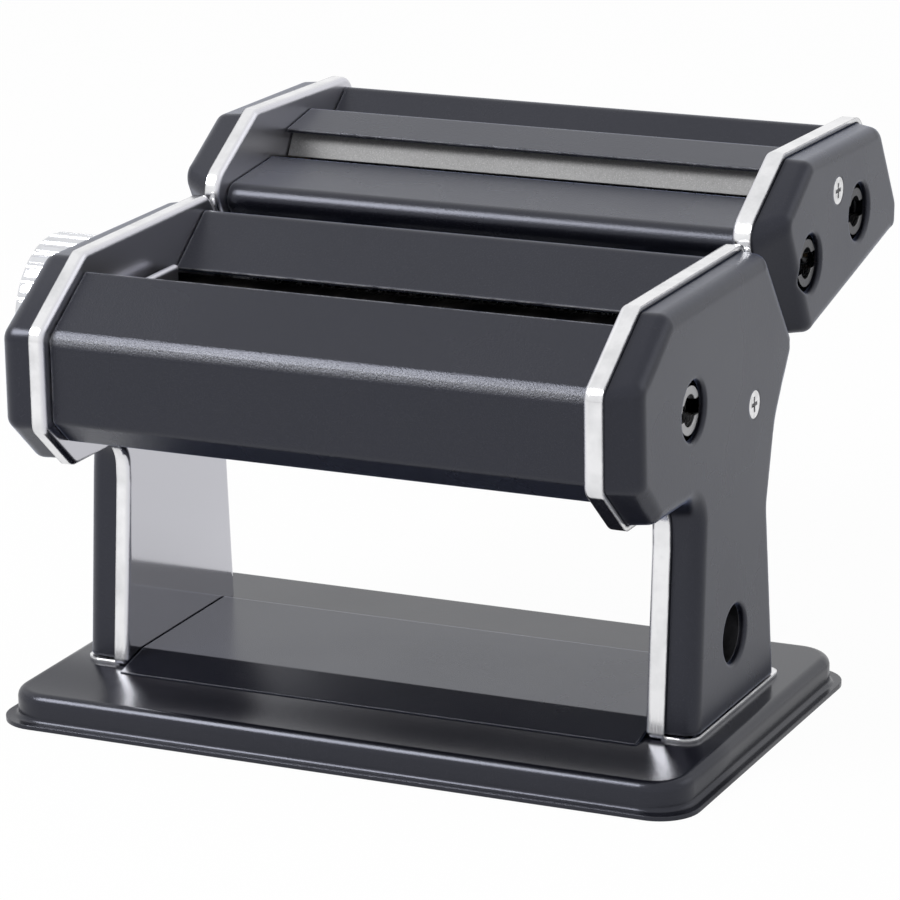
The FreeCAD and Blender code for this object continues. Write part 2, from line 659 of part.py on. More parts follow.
def base_nuts():
    nuts = []
    for x, y in base_screw_places():
        r = BASE_NUT_AF / math.sqrt(3)
        turns = [(i + 0.5) * math.pi / 3 for i in range(6)]
        points = [V(x + r * math.cos(a), y + r * math.sin(a), FOOT_Z) for a in turns]
        nut = Part.Face(Part.makePolygon(points + points[:1])).extrude(V(0, 0, BASE_NUT_T))
        hole = Part.makeCylinder(BASE_SCREW_R + SEAT_FIT, BASE_NUT_T + 2, V(x, y, FOOT_Z - 1))
        nuts.append(nut.cut(hole))
    return Part.makeCompound(nuts)


def under_tray():
    """Low folded tray between the legs, with a ramp in front and a short one behind."""
    top = BASE_H + TRAY_RISE
    low = BASE_H + TRAY_EDGE
    front = [(TRAY_FRONT_Y + TRAY_RAMP, top), (TRAY_FRONT_Y, low)]
    tray = folded_sheet([(TRAY_REAR_Y + TRAY_TAIL, low), (TRAY_REAR_Y, top)] + front)
    table = Part.makeBox(3 * SHEET_X, 2 * BASE_D, BASE_H, V(-1.5 * SHEET_X, -BASE_D, 0))
    return tray.cut(table)


def main_plate(side):
    """Main side plate with its foot on the base."""
    plate = plate_pan(MAIN_OUTLINE, MAIN_RADII, side)
    front, rear = LEG_FRONT_FOOT_Y + FOOT_SHORT, LEG_REAR_FOOT_Y - FOOT_SHORT
    foot = [(front, BASE_H), (rear, BASE_H), (rear, FOOT_Z), (front, FOOT_Z)]
    reach = slab(foot, [0.0] * 4, flange_x(side) - 1.0, FACE_X + FOOT_REACH)
    uprights = [e for e in reach.Edges if e.BoundBox.ZLength > PLATE_T * 0.9 and e.BoundBox.XMin > FACE_X]
    plate = plate.fuse(reach.makeFillet(COVER_SOFT_EDGE + FOOT_REACH, uprights)).removeSplitter()
    for x, y in base_screw_places():
        if x > 0:
            plate = plate.cut(Part.makeCylinder(BASE_SCREW_R + SEAT_FIT, BASE_H, V(x, y, BASE_H / 2)))
    plate = sided(plate, side)
    holes = [(FRONT_AXIS, bush_hole(JOURNAL_R + RUNNING_FIT))]
    if side > 0:
        holes.append((KNOB_AXIS, bush_hole(SHAFT_JOURNAL_R + RUNNING_FIT)))
    else:
        holes.append((KNOB_AXIS, HUB_R + ECCENTRICITY + GAP_LEAST))
    holes += [(axis, ROD_SCREW_R + SEAT_FIT) for axis in main_rods()]
    return bored(plate, holes, side)


def main_cover(side):
    """Black cover over a main side plate."""
    draft = RIGHT_DRAFT if side > 0 else LEFT_DRAFT
    outline, radii = list(MAIN_OUTLINE), list(MAIN_RADII)
    for foot, above in ((6, 5), (7, 8)):
        leg = flat(MAIN_OUTLINE[above], MAIN_OUTLINE[foot])
        outline[foot] = along(MAIN_OUTLINE[foot], leg, -BASE_H / leg[1])
        radii[foot] = MAIN_FACE_RADII[foot]
    shell = cover_shell(outline, radii, draft, MAIN_FACE_RADII, COVER_SOFT_EDGE, side)
    below = Part.makeBox(FACE_X, 2 * BASE_D, 2 * BASE_D, V(FACE_X / 2, -BASE_D, -2 * BASE_D))
    below.translate(V(0, 0, FOOT_Z + COVER_FOOT_GAP))
    shell = shell.cut(below)
    if side > 0:
        shell = shell.cut(screw_seat((COVER_SCREW_Y, COVER_SCREW_Z)))
        return holed_cover(shell, [(FRONT_AXIS, SOCKET_HOLE_R), ((CLAMP_Y, CLAMP_Z), CLAMP_R)], 1)
    shell = to_left(shell.cut(screw_seat((LEFT_SCREW_Y, COVER_SCREW_Z))))
    return bored(shell, [(KNOB_AXIS, bush_hole(SHAFT_JOURNAL_R + RUNNING_FIT))], -1)


def main_screw_places():
    return [((COVER_SCREW_Y, COVER_SCREW_Z), 1), ((LEFT_SCREW_Y, COVER_SCREW_Z), -1)]


def clamp_sleeve():
    """Sleeve behind the clamp hole in the right leg."""
    return tube(CLAMP_R, CLAMP_R + CLAMP_SLEEVE_WALL, PLATE_OUT_X, COVER_IN_X, (CLAMP_Y, CLAMP_Z))


def front_cover():
    """Folded front cover: slanted top, upright face, chamfer and bottom return."""
    line = inset(MAIN_OUTLINE, SHEET_INSET)
    slant = flat(line[1], line[0])
    top = along(line[1], slant, (FRONT_TOP_EDGE_Y - line[1][0]) / slant[0])
    chamfer = flat(line[2], line[3])
    fold = along(line[2], chamfer, (FRONT_FOLD_Z - line[2][1]) / chamfer[1])
    return folded_sheet([top, line[1], line[2], fold, (FRONT_RETURN_Y, FRONT_FOLD_Z)])


def rear_cover():
    """Folded rear cover: the hopper's sloping back plate, the seat side and a lower return."""
    line = inset(MAIN_OUTLINE, SHEET_INSET)
    nose_high, nose_low, hip = line[11], line[10], line[9]
    crest_z = BODY_TOP_Z - HOPPER_TOP_DROP
    seat_in = flat(nose_high, line[12])
    crest = along(nose_high, seat_in, (crest_z - nose_high[1]) / seat_in[1])
    low_edge = (HOPPER_LOW_Y, ROLLER_Z + ROLLER_R + HOPPER_LOW_GAP)
    tail = flat(nose_low, hip)
    end = along(nose_low, tail, (REAR_COVER_LOW_Z - nose_low[1]) / tail[1])
    return folded_sheet([end, nose_low, nose_high, crest, low_edge])


def dough_guide(side):
    """Chromed guide in the nip at a roller's end, on a stud in the side plate."""
    axis_y = (ROLLER_Y + REAR_ROLLER_Y) / 2
    top = ROLLER_Z + ROLLER_R + GUIDE_TOP_RISE
    x_out = PLATE_X - GUIDE_INSET
    front, rear = axis_y - GUIDE_HALF_W, axis_y + GUIDE_HALF_W
    points = [(rear, top), (front, top), (front, ROLLER_Z), (rear, ROLLER_Z)]
    blade = slab(points, [0.0] * 4, x_out - GUIDE_T, x_out)
    crown = [e for e in blade.Edges if e.BoundBox.ZMin > top - GUIDE_EDGE and e.BoundBox.YLength > GUIDE_HALF_W]
    blade = blade.makeFillet(GUIDE_EDGE, crown)
    room = ROLLER_R + GUIDE_ROLLER_GAP
    blade = blade.cut(rod(room, 0, PLATE_X, FRONT_AXIS))
    for share in (0.0, 0.25, 0.5, 0.75, 1.0):
        turn = math.pi * share
        axis = along(KNOB_AXIS, (math.cos(turn), -math.sin(turn)), ECCENTRICITY)
        blade = blade.cut(rod(room, 0, PLATE_X, axis))
    blade = max(blade.Solids, key=lambda solid: solid.BoundBox.ZMax)
    stud = rod(GUIDE_STUD_R, x_out, PLATE_X, (axis_y, top - GUIDE_STUD_R - GUIDE_T))
    return sided(blade.fuse(stud).removeSplitter(), side)


def scraper_top():
    return ROLLER_Z - SCRAPER_HEIGHT_SHARE * ROLLER_R


def scraper_tip(clear_r):
    """Distance from a roller's axis to the scraper's edge, along Y."""
    return math.sqrt(clear_r ** 2 - (ROLLER_Z - scraper_top()) ** 2)


def scraper_edges():
    """Inner edges of the front and rear scrapers; the rear one also clears the roller as it moves."""
    front = ROLLER_Y - scraper_tip(ROLLER_R + SCRAPER_GAP)
    rear = KNOB_Y + scraper_tip(ROLLER_R + ECCENTRICITY + SCRAPER_GAP)
    return front, rear


def scraper(edge, outwards):
    """Flat steel strip under a roller, lying on its tie rod."""
    top = scraper_top()
    y0, y1 = sorted((edge, edge + outwards * SCRAPER_W))
    return Part.makeBox(2 * SHEET_X, y1 - y0, SCRAPER_T, V(-SHEET_X, y0, top - SCRAPER_T))


def main_rods():
    """Tie rods: one under each scraper, one in the front and one in the back."""
    front, rear = scraper_edges()
    z = scraper_top() - SCRAPER_T - ROD_R - SEAT_FIT
    reach = SCRAPER_W - SCRAPER_ROD_BACK
    return [(front - reach, z), (rear + reach, z), (FRONT_ROD_Y, FRONT_ROD_Z), (REAR_ROD_Y, REAR_ROD_Z)]


def front_roller():
    """Driven roller with the crank socket in its right-hand journal."""
    half = ROLLER_LEN / 2
    clip_x = -ROLLER_GEAR_END
    body = rod(ROLLER_R, -half, half, FRONT_AXIS)
    body = body.fuse(rod(JOURNAL_R, clip_x - 2 * CIRCLIP_W, SOCKET_END_X, FRONT_AXIS)).removeSplitter()
    body = body.cut(tube(JOURNAL_R - CIRCLIP_GROOVE, JOURNAL_R + 1, clip_x - CIRCLIP_W, clip_x, FRONT_AXIS))
    return drive_end(body, FRONT_AXIS)


def gear_circlip():
    """Spring clip that keeps the driven gear on its journal."""
    x = -ROLLER_GEAR_END
    ring = tube(JOURNAL_R - CIRCLIP_GROOVE + SEAT_FIT, CIRCLIP_R, x - CIRCLIP_W + SEAT_FIT, x, FRONT_AXIS)
    corner = V(x - CIRCLIP_W - 1, ROLLER_Y - CIRCLIP_R, ROLLER_Z - CIRCLIP_MOUTH / 2)
    return ring.cut(Part.makeBox(CIRCLIP_W + 2, CIRCLIP_R, CIRCLIP_MOUTH, corner))


def rear_roller():
    """Hollow adjustable roller with a hub for its gear."""
    half = ROLLER_LEN / 2
    body = rod(ROLLER_R, -half, half, REAR_AXIS)
    body = body.fuse(rod(HUB_R, -ROLLER_GEAR_END, 0, REAR_AXIS)).removeSplitter()
    return body.cut(rod(FLOAT_R + RUNNING_FIT, -FACE_X, FACE_X, REAR_AXIS))


def roller_gear(axis, bore_r, degrees):
    pitch_r = (KNOB_Y - ROLLER_Y) / 2
    return gear(
        ROLLER_TEETH, pitch_r, ROLLER_TOOTH_SHARE, ROLLER_ADDENDUM, ROLLER_DEDENDUM,
        bore_r, ROLLER_GEAR_W, axis, degrees)


def floating_bushes():
    """Bushes between the eccentric shaft and the hollow roller, one at each end."""
    half = ROLLER_LEN / 2
    left = tube(SHAFT_R + RUNNING_FIT, FLOAT_R, -ROLLER_GEAR_END, -ROLLER_GEAR_END + FLOAT_LEN, REAR_AXIS)
    right = tube(SHAFT_R + RUNNING_FIT, FLOAT_R, half - FLOAT_LEN, half, REAR_AXIS)
    return Part.makeCompound([left, right])


def shaft_end(r, x0, x1):
    """The flatted end of the adjusting shaft that the knob slides on."""
    bar = rod(r, x0, x1, KNOB_AXIS)
    low = min(x0, x1) - 1
    corner = V(low, KNOB_Y - 2 * r, ROLLER_Z + r - SHAFT_FLAT)
    return bar.cut(Part.makeBox(abs(x1 - x0) + 2, 4 * r, 2 * r, corner))


def adjusting_shaft():
    """Eccentric shaft through the rear roller: its journals turn on the knob's axis."""
    left_x = -ROLLER_GEAR_END - RUNNING_FIT
    cap_x = KNOB_END_X - CAP_RECESS - CAP_T
    body = rod(SHAFT_R, left_x, ROLLER_LEN / 2, REAR_AXIS)
    body = body.fuse(rod(SHAFT_JOURNAL_R, 0, PLATE_X + BUSH_LEN, KNOB_AXIS))
    body = body.fuse(rod(SHAFT_JOURNAL_R, -INDEX_X, 0, KNOB_AXIS))
    body = body.fuse(shaft_end(SHAFT_JOURNAL_R, -cap_x, -INDEX_X)).removeSplitter()
    return body.cut(rod(ROD_SCREW_R + SEAT_FIT, -cap_x - 1, -cap_x + ROD_SCREW_DEPTH, KNOB_AXIS))


def cover_bush():
    """Bush in the left cover for the adjusting shaft."""
    r_in = SHAFT_JOURNAL_R + RUNNING_FIT
    r_out = r_in + BUSH_WALL
    body = rod(r_out, -COVER_IN_X, -INDEX_X, KNOB_AXIS)
    body = body.fuse(rod(r_out + BUSH_FLANGE_W, -COVER_IN_X, -COVER_IN_X + BUSH_FLANGE_T, KNOB_AXIS))
    return body.cut(rod(r_in, -INDEX_X - 1, -PLATE_X, KNOB_AXIS)).removeSplitter()


def arc_slot(x0, x1, orbit, half_width):
    """Slot over the lower half turn about the knob's axis."""
    ring = tube(orbit - half_width, orbit + half_width, x0, x1, KNOB_AXIS)
    size = 2 * (orbit + half_width)
    upper = Part.makeBox(abs(x1 - x0) + 2, 2 * size, size, V(min(x0, x1) - 1, KNOB_Y - size, ROLLER_Z))
    slot = ring.cut(upper)
    for way in (-1, 1):
        slot = slot.fuse(rod(half_width, x0, x1, (KNOB_Y + way * orbit, ROLLER_Z)))
    return slot


def index_plate():
    """Plate behind the knob with the detent's slot, which stops it at both ends."""
    r_in = SHAFT_JOURNAL_R + RUNNING_FIT + BUSH_WALL + SEAT_FIT
    plate = tube(r_in, INDEX_R, -INDEX_X, -FACE_X, KNOB_AXIS)
    return plate.cut(arc_slot(-INDEX_X - 1, -FACE_X + 1, DETENT_ORBIT, DETENT_R + DETENT_SLOT_GAP))


def knob():
    """Fluted knob with a plain skirt for the dial and a well for its spring."""
    end = KNOB_END_X
    step = KNOB_X + KNOB_SKIRT_LEN
    profile = [
        (-KNOB_X, 0), (-KNOB_X, KNOB_SKIRT_R - KNOB_EDGE), (-KNOB_X - KNOB_EDGE, KNOB_SKIRT_R),
        (-step, KNOB_SKIRT_R), (-step - (KNOB_R - KNOB_SKIRT_R), KNOB_R), (-end + KNOB_EDGE, KNOB_R),
        (-end + KNOB_EDGE / 3, KNOB_R - KNOB_EDGE / 3), (-end, KNOB_R - KNOB_EDGE), (-end, 0)]
    body = turned(profile, KNOB_AXIS)
    flutes = []
    for i in range(KNOB_FLUTES):
        a = 2 * math.pi * i / KNOB_FLUTES
        axis = along(KNOB_AXIS, (math.cos(a), math.sin(a)), KNOB_R + KNOB_FLUTE_R - KNOB_FLUTE_DEPTH)
        flutes.append(rod(KNOB_FLUTE_R, -end - 1, -step - KNOB_FLUTE_START, axis))
    body = body.cut(Part.makeCompound(flutes))
    body = body.cut(rod(WELL_R, -end - 1, -KNOB_X - KNOB_FLOOR, KNOB_AXIS))
    body = body.cut(shaft_end(SHAFT_JOURNAL_R + RUNNING_FIT, -end, -KNOB_X + 1))
    return body.cut(rod(DETENT_R + SEAT_FIT, -KNOB_X - KNOB_FLOOR / 2, -KNOB_X + 1, detent_axis()))


def detent_axis():
    return (KNOB_Y + DETENT_ORBIT, ROLLER_Z)


def detent_pin():
    """Pin in the knob that runs in the index plate's slot."""
    return rod(DETENT_R, -KNOB_X - KNOB_FLOOR / 2, -FACE_X - DETENT_TIP_GAP, detent_axis())


def knob_cap():
    """Cap screwed into the shaft's end, which holds the spring in the knob."""
    outer = KNOB_END_X - CAP_RECESS
    disc = rod(WELL_R - GAP_LEAST, -outer, -outer + CAP_T, KNOB_AXIS)
    shank = rod(ROD_SCREW_R, -outer + CAP_T, -outer + CAP_T + ROD_SCREW_DEPTH - 1, KNOB_AXIS)
    cap = disc.fuse(shank).removeSplitter()
    return cap.cut(to_left(cross_recess(outer, KNOB_AXIS)))


def arc_middle(start, direction, end):
    """Middle of the arc that leaves start along a direction and ends at a point."""
    chord = end - start
    side = direction - chord * (direction.dot(chord) / chord.dot(chord))
    side.normalize()
    return (start + end) * 0.5 + side * (chord.Length / 2 * math.tan(direction.getAngle(chord) / 2))


def biarc(p, u, q, v):
    """Two arcs from p along u to q along v that meet without a kink."""
    gap = q - p
    both = u + v
    bend = 2 * (1 - u.dot(v))
    reach = (math.sqrt(gap.dot(both) ** 2 + bend * gap.dot(gap)) - gap.dot(both)) / bend
    joint = (p + q + (u - v) * reach) * 0.5
    first = Part.Arc(p, arc_middle(p, u, joint), joint)
    second = Part.Arc(joint, arc_middle(q, v * -1.0, joint), q)
    return [first.toShape(), second.toShape()]


def knob_spring():
    """Coil spring between the knob's floor and the cap."""
    x0 = KNOB_X + KNOB_FLOOR + SPRING_WIRE_R + SPRING_END_GAP
    x1 = KNOB_END_X - CAP_RECESS - CAP_T - SPRING_WIRE_R - SPRING_END_GAP
    rise = (x1 - x0) / SPRING_TURNS

    def at(turns):
        """Place and direction on the wire's middle line."""
        a = 2 * math.pi * turns
        place = V(-x0 - rise * turns, KNOB_Y + SPRING_R * math.cos(a), ROLLER_Z + SPRING_R * math.sin(a))
        way = V(-rise / (2 * math.pi * SPRING_R), -math.sin(a), math.cos(a))
        return place, way.normalize()

    edges = []
    for quarter in range(4 * SPRING_TURNS):
        edges += biarc(*at(quarter / 4), *at((quarter + 1) / 4))
    place, way = at(0)
    section = Part.Wire(Part.makeCircle(SPRING_WIRE_R, place, way))
    print("spring's least gap to itself %.2f" % (rise - 2 * SPRING_WIRE_R))
    return Part.Wire(edges).makePipeShell([section], True, False)


def cutter_places():
    """Name, axis, ring's width, ring count, whether driven, and its comb's lean, for each cutter."""
    return [
        ("narrow_drive", NARROW_DRIVE, NARROW_CUT, NARROW_RINGS, True, -1),
        ("narrow_idle", NARROW_IDLE, NARROW_CUT, NARROW_RINGS, False, 1),
        ("wide_drive", WIDE_DRIVE, WIDE_CUT, WIDE_RINGS, True, -1),
        ("wide_idle", WIDE_IDLE, WIDE_CUT, WIDE_RINGS, False, 1)]


def ring_starts(cut, rings, driven):
    """Left edge of each ring; the idle cutter's rings stand in the driven one's grooves."""
    pitch = 2 * cut
    first = -pitch * rings / 2 + CUT_SIDE_GAP + (0.0 if driven else cut)
    return [first + i * pitch for i in range(rings)]


def cutter(axis, cut, rings, driven):
    """Cutter roller with square rings, journals and, when driven, a crank socket."""
    half = ROLLER_LEN / 2
    width = cut - 2 * CUT_SIDE_GAP
    left = -(GEAR_X + CUTTER_GEAR_W)
    right_r = JOURNAL_R if driven else CUT_JOURNAL_R
    right = SOCKET_END_X if driven else PLATE_X + BUSH_LEN
    profile = [(left, 0), (left, CUT_JOURNAL_R), (-half, CUT_JOURNAL_R), (-half, CUT_GROOVE_R)]
    for x in ring_starts(cut, rings, driven):
        profile += [(x, CUT_GROOVE_R), (x, CUT_RING_R), (x + width, CUT_RING_R), (x + width, CUT_GROOVE_R)]
    profile += [(half, CUT_GROOVE_R), (half, right_r), (right, right_r), (right, 0)]
    body = turned(profile, axis)
    return drive_end(body, axis) if driven else body


def comb(axis, cut, rings, driven, lean):
    """Stripper comb under a cutter, with a tooth in each groove; its ends stand on the side plates."""
    width = cut - 2 * CUT_SIDE_GAP
    groove = 2 * cut - width
    tooth = groove * COMB_TOOTH_SHARE
    tip = CUT_GROOVE_R + COMB_GAP
    root = CUT_RING_R + COMB_GAP
    short = PLATE_X - BUSH_FLANGE_T - COMB_GAP
    tab = JOURNAL_R + RUNNING_FIT + BUSH_WALL + BUSH_FLANGE_W + COMB_GAP
    outline = [(-PLATE_X, tab), (-short, tab), (-short, root)]
    for x in ring_starts(cut, rings, driven)[:-1]:
        edge = x + width + (groove - tooth) / 2
        outline += [(edge, root), (edge, tip), (edge + tooth, tip), (edge + tooth, root)]
    outline += [(short, root), (short, tab), (PLATE_X, tab), (PLATE_X, COMB_REACH), (-PLATE_X, COMB_REACH)]
    points = [V(x, axis[0] - COMB_T / 2, axis[1] - r) for x, r in outline]
    strip = Part.Face(Part.makePolygon(points + points[:1])).extrude(V(0, COMB_T, 0))
    return turn_about(strip, axis, lean * math.degrees(COMB_LEAN))


def cutter_plate(side):
    """Side plate of the cutter unit."""
    plate = sided(plate_pan(CUT_OUTLINE, CUT_RADII, side), side)
    holes = []
    for _, axis, _, _, driven, _ in cutter_places():
        big = driven and side > 0
        holes.append((axis, bush_hole((JOURNAL_R if big else CUT_JOURNAL_R) + RUNNING_FIT)))
    holes += [(axis, ROD_SCREW_R + SEAT_FIT) for axis in cutter_rods()]
    return bored(plate, holes, side)


def cutter_bushes():
    bushes = []
    for _, axis, _, _, driven, _ in cutter_places():
        for side in (-1, 1):
            big = driven and side > 0
            bushes.append(bush((JOURNAL_R if big else CUT_JOURNAL_R) + RUNNING_FIT, axis, side))
    return Part.makeCompound(bushes)


def cutter_rods():
    return [CUT_ROD_LOW, CUT_ROD_HIGH, CUT_ROD_FRONT]


def cutter_cover(side):
    draft = CUT_DRAFT if side > 0 else LEFT_CUT_DRAFT
    shell = cover_shell(CUT_OUTLINE, CUT_RADII, draft, CUT_FACE_RADII, CUT_SOFT_EDGE, side)
    shell = shell.cut(screw_seat((CUT_SCREW_Y, CUT_SCREW_Z)))
    if side > 0:
        return holed_cover(shell, [(NARROW_DRIVE, SOCKET_HOLE_R), (WIDE_DRIVE, SOCKET_HOLE_R)], 1)
    return to_left(shell)


def cutter_gear(axis, degrees):
    return gear(
        CUTTER_TEETH, CUT_CENTRES / 2, CUTTER_TOOTH_SHARE, CUTTER_ADDENDUM, CUTTER_DEDENDUM,
        CUT_JOURNAL_R + SEAT_FIT, CUTTER_GEAR_W, axis, degrees)


def cutter_front_cover():
    """Rounded front cover of the cutter unit, from the first slot down to the seat."""
    low = (seat_y(CUT_FRONT_LOW_Z, SEAT_GAP + SHEET_INSET), CUT_FRONT_LOW_Z)
    brow = (seat_y(CUT_BULLNOSE[1], SEAT_GAP + SHEET_INSET), CUT_BULLNOSE[1])
    return folded_sheet([CUT_FRONT_EDGE, brow, low], bend=CUT_BULLNOSE_R - SHEET_T)


def cutter_top_cover():
    """Flat cover between the two slots, with a lip turned down behind."""
    lip = (CUT_FLAT_REAR[0], CUT_FLAT_REAR[1] - CUT_FLAT_LIP)
    return folded_sheet([lip, CUT_FLAT_REAR, CUT_FLAT_FRONT])


def slot_strip():
    """Grey guide strip under the flat cover's front edge."""
    top = (CUT_FLAT_FRONT[0] + STRIP_LEAN, CUT_FLAT_FRONT[1] - SHEET_T - STRIP_GAP)
    foot = (top[0] - STRIP_LEAN, top[1] - STRIP_DROP)
    return folded_sheet([top, foot])


def cutter_rear_cover():
    """Rear cover of the cutter unit, from the second slot over the crest and down the back."""
    line = inset(CUT_OUTLINE, SHEET_INSET)
    low = (line[4][0], CUT_REAR_LOW_Z)
    return folded_sheet([low, line[4], CUT_REAR_CREST, CUT_REAR_LIP])


def on_seat(shape):
    """Carries a piece drawn with its back on Y = 0 and rising along Z onto the main rear cover."""
    placed = shape.copy()
    placed.rotate(V(0, 0, 0), V(1, 0, 0), math.degrees(math.atan(SEAT_RUN)))
    start = (seat_y(RAIL_LOW_Z, -SHEET_INSET), RAIL_LOW_Z)
    placed.translate(V(0, *start))
    return placed


def rail(x):
    """Channel on the main rear cover, closed at its foot, that takes a tongue from above."""
    half = RAIL_W / 2
    block = Part.makeBox(RAIL_W, RAIL_H, RAIL_LEN, V(x - half, 0, 0))
    for edge, depth in ((RAIL_T, RAIL_H - 2 * RAIL_T), (RAIL_LIP, RAIL_H)):
        corner = V(x - half + edge, RAIL_T, RAIL_T)
        block = block.cut(Part.makeBox(RAIL_W - 2 * edge, depth, RAIL_LEN, corner))
    return on_seat(block)


def tongue(x):
    """Tongue on the cutter unit's front cover that hangs in a rail."""
    half_head = RAIL_W / 2 - RAIL_T - 2 * TONGUE_GAP
    half_stem = RAIL_W / 2 - RAIL_LIP - 2 * TONGUE_GAP
    low = RAIL_T + TONGUE_GAP
    reach = 2 * SHEET_INSET + SEAT_GAP - low
    height = RAIL_LEN - low
    head = Part.makeBox(2 * half_head, TONGUE_T, height, V(x - half_head, low, RAIL_T + RUNNING_FIT))
    stem = Part.makeBox(2 * half_stem, reach, height, V(x - half_stem, low, RAIL_T + RUNNING_FIT))
    return on_seat(head.fuse(stem).removeSplitter())


def pieces():
    """Every sub-part by name."""
    made = {
        "base_plate": base_plate(),
        "under_tray": under_tray(),
        "left_side_plate": main_plate(-1),
        "right_side_plate": main_plate(1),
        "left_side_cover": main_cover(-1),
        "right_side_cover": main_cover(1),
        "front_cover": front_cover(),
        "rear_cover": rear_cover(),
        "left_dough_guide": dough_guide(-1),
        "right_dough_guide": dough_guide(1),
        "clamp_sleeve": clamp_sleeve(),
        "base_screws": base_screws(),
        "base_nuts": base_nuts(),
        "cover_posts": Part.makeCompound([cover_post(*place) for place in main_screw_places()]),
        "cover_screws": Part.makeCompound([cover_screw(*place) for place in main_screw_places()]),
        "tie_rods": Part.makeCompound([tie_rod(axis, ROD_R) for axis in main_rods()]),
        "tie_rod_screws": Part.makeCompound([both_sides(tie_screw(axis)) for axis in main_rods()]),
        "front_scraper": scraper(scraper_edges()[0], -1),
        "rear_scraper": scraper(scraper_edges()[1], 1),
        "front_roller": front_roller(),
        "front_roller_gear": roller_gear(FRONT_AXIS, JOURNAL_R + SEAT_FIT, 0.0),
        "gear_circlip": gear_circlip(),
        "front_roller_bushes": both_sides(bush(JOURNAL_R + RUNNING_FIT, FRONT_AXIS, 1)),
        "rear_roller": rear_roller(),
        "rear_roller_gear": roller_gear(REAR_AXIS, HUB_R + SEAT_FIT, 180.0 / ROLLER_TEETH),
        "floating_bushes": floating_bushes(),
        "adjusting_shaft": adjusting_shaft(),
        "shaft_plate_bush": bush(SHAFT_JOURNAL_R + RUNNING_FIT, KNOB_AXIS, 1),
        "shaft_cover_bush": cover_bush(),
        "index_plate": index_plate(),
        "thickness_knob": knob(),
        "detent_pin": detent_pin(),
        "knob_spring": knob_spring(),
        "knob_cap": knob_cap(),
        "rear_rails": Part.makeCompound([rail(-RAIL_X), rail(RAIL_X)]),
        "cutter_tongues": Part.makeCompound([tongue(-RAIL_X), tongue(RAIL_X)]),
        "cutter_left_plate": cutter_plate(-1),
        "cutter_right_plate": cutter_plate(1),
        "cutter_left_cover": cutter_cover(-1),
        "cutter_right_cover": cutter_cover(1),
        "cutter_front_cover": cutter_front_cover(),
        "cutter_top_cover": cutter_top_cover(),
        "slot_strip": slot_strip(),
        "cutter_rear_cover": cutter_rear_cover(),
        "cutter_bushes": cutter_bushes(),
        "cutter_cover_posts": both_sides(cover_post((CUT_SCREW_Y, CUT_SCREW_Z), 1)),
        "cutter_cover_screws": both_sides(cover_screw((CUT_SCREW_Y, CUT_SCREW_Z), 1)),
        "cutter_tie_rods": Part.makeCompound([tie_rod(axis, CUT_ROD_R) for axis in cutter_rods()]),
        "cutter_tie_screws": Part.makeCompound([both_sides(tie_screw(axis)) for axis in cutter_rods()]),
    }
    combs = {"narrow": [], "wide": []}
    for name, axis, cut, rings, driven, lean in cutter_places():
        phase = 0.0 if driven else 180.0 / CUTTER_TEETH
        made[name + "_cutter"] = cutter(axis, cut, rings, driven)
        made[name + "_gear"] = cutter_gear(axis, math.degrees(CUT_TILT) + phase)
        combs[name.split("_")[0]].append(comb(axis, cut, rings, driven, lean))
    for name, pair in combs.items():
        made[name + "_combs"] = Part.makeCompound(pair)
    return made


os.makedirs("parts", exist_ok=True)
for name, shape in pieces().items():
    shape.translate(-ORIGIN)
    shape.exportStep("parts/" + name + ".step")
    facts = (name, len(shape.Solids), shape.Volume, shape.isValid())
    print("%-22s solids %2d  volume %10.1f  valid %s" % facts)
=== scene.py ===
"""Looks of a hand-cranked pasta roller machine with its cutter unit, in the order it is put together."""
import bpy
import math
import numpy as np
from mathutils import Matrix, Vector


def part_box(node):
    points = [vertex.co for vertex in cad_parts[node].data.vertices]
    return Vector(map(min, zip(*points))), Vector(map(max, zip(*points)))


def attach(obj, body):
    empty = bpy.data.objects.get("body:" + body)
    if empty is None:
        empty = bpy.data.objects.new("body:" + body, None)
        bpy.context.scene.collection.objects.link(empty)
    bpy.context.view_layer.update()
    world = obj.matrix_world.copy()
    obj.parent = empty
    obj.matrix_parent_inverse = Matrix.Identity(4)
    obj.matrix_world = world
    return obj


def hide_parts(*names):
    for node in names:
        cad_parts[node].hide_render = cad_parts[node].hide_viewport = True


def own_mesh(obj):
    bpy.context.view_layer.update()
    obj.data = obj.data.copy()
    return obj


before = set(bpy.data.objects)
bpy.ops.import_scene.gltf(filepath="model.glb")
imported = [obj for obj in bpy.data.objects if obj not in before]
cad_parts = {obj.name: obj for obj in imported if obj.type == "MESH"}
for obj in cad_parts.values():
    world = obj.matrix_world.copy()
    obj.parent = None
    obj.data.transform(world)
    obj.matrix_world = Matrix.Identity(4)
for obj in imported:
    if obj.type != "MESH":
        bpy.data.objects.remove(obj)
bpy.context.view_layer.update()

# Base plate and tray
# The base is one deep-drawn steel sheet with a turned lip, and the tray is a folded sheet laid on it.
# Both wear a black satin powder coat that is baked on, with a fine orange peel and pale specks.
BLACK_GROUND = (0.0042, 0.0044, 0.0075)
PRESSED_SPECKS = (0.014, 0.014, 0.019)
EDGE_WEAR_AND_HIGHLIGHT = (0.50, 0.50, 0.52)
COAT_TINT = (0.82, 0.85, 1.0, 1.0)
COAT_IOR = 1.53
SHEEN_TINT = (0.52, 0.62, 1.0, 1.0)
SHEEN_SPREAD = 0.30
PATCH_SCALE = 22.0
RUB_SCALE = 260.0
APRON_SLOPE = 0.10
APRON_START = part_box("base_plate")[0][1]
APRON_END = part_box("under_tray")[0][1] + 0.012


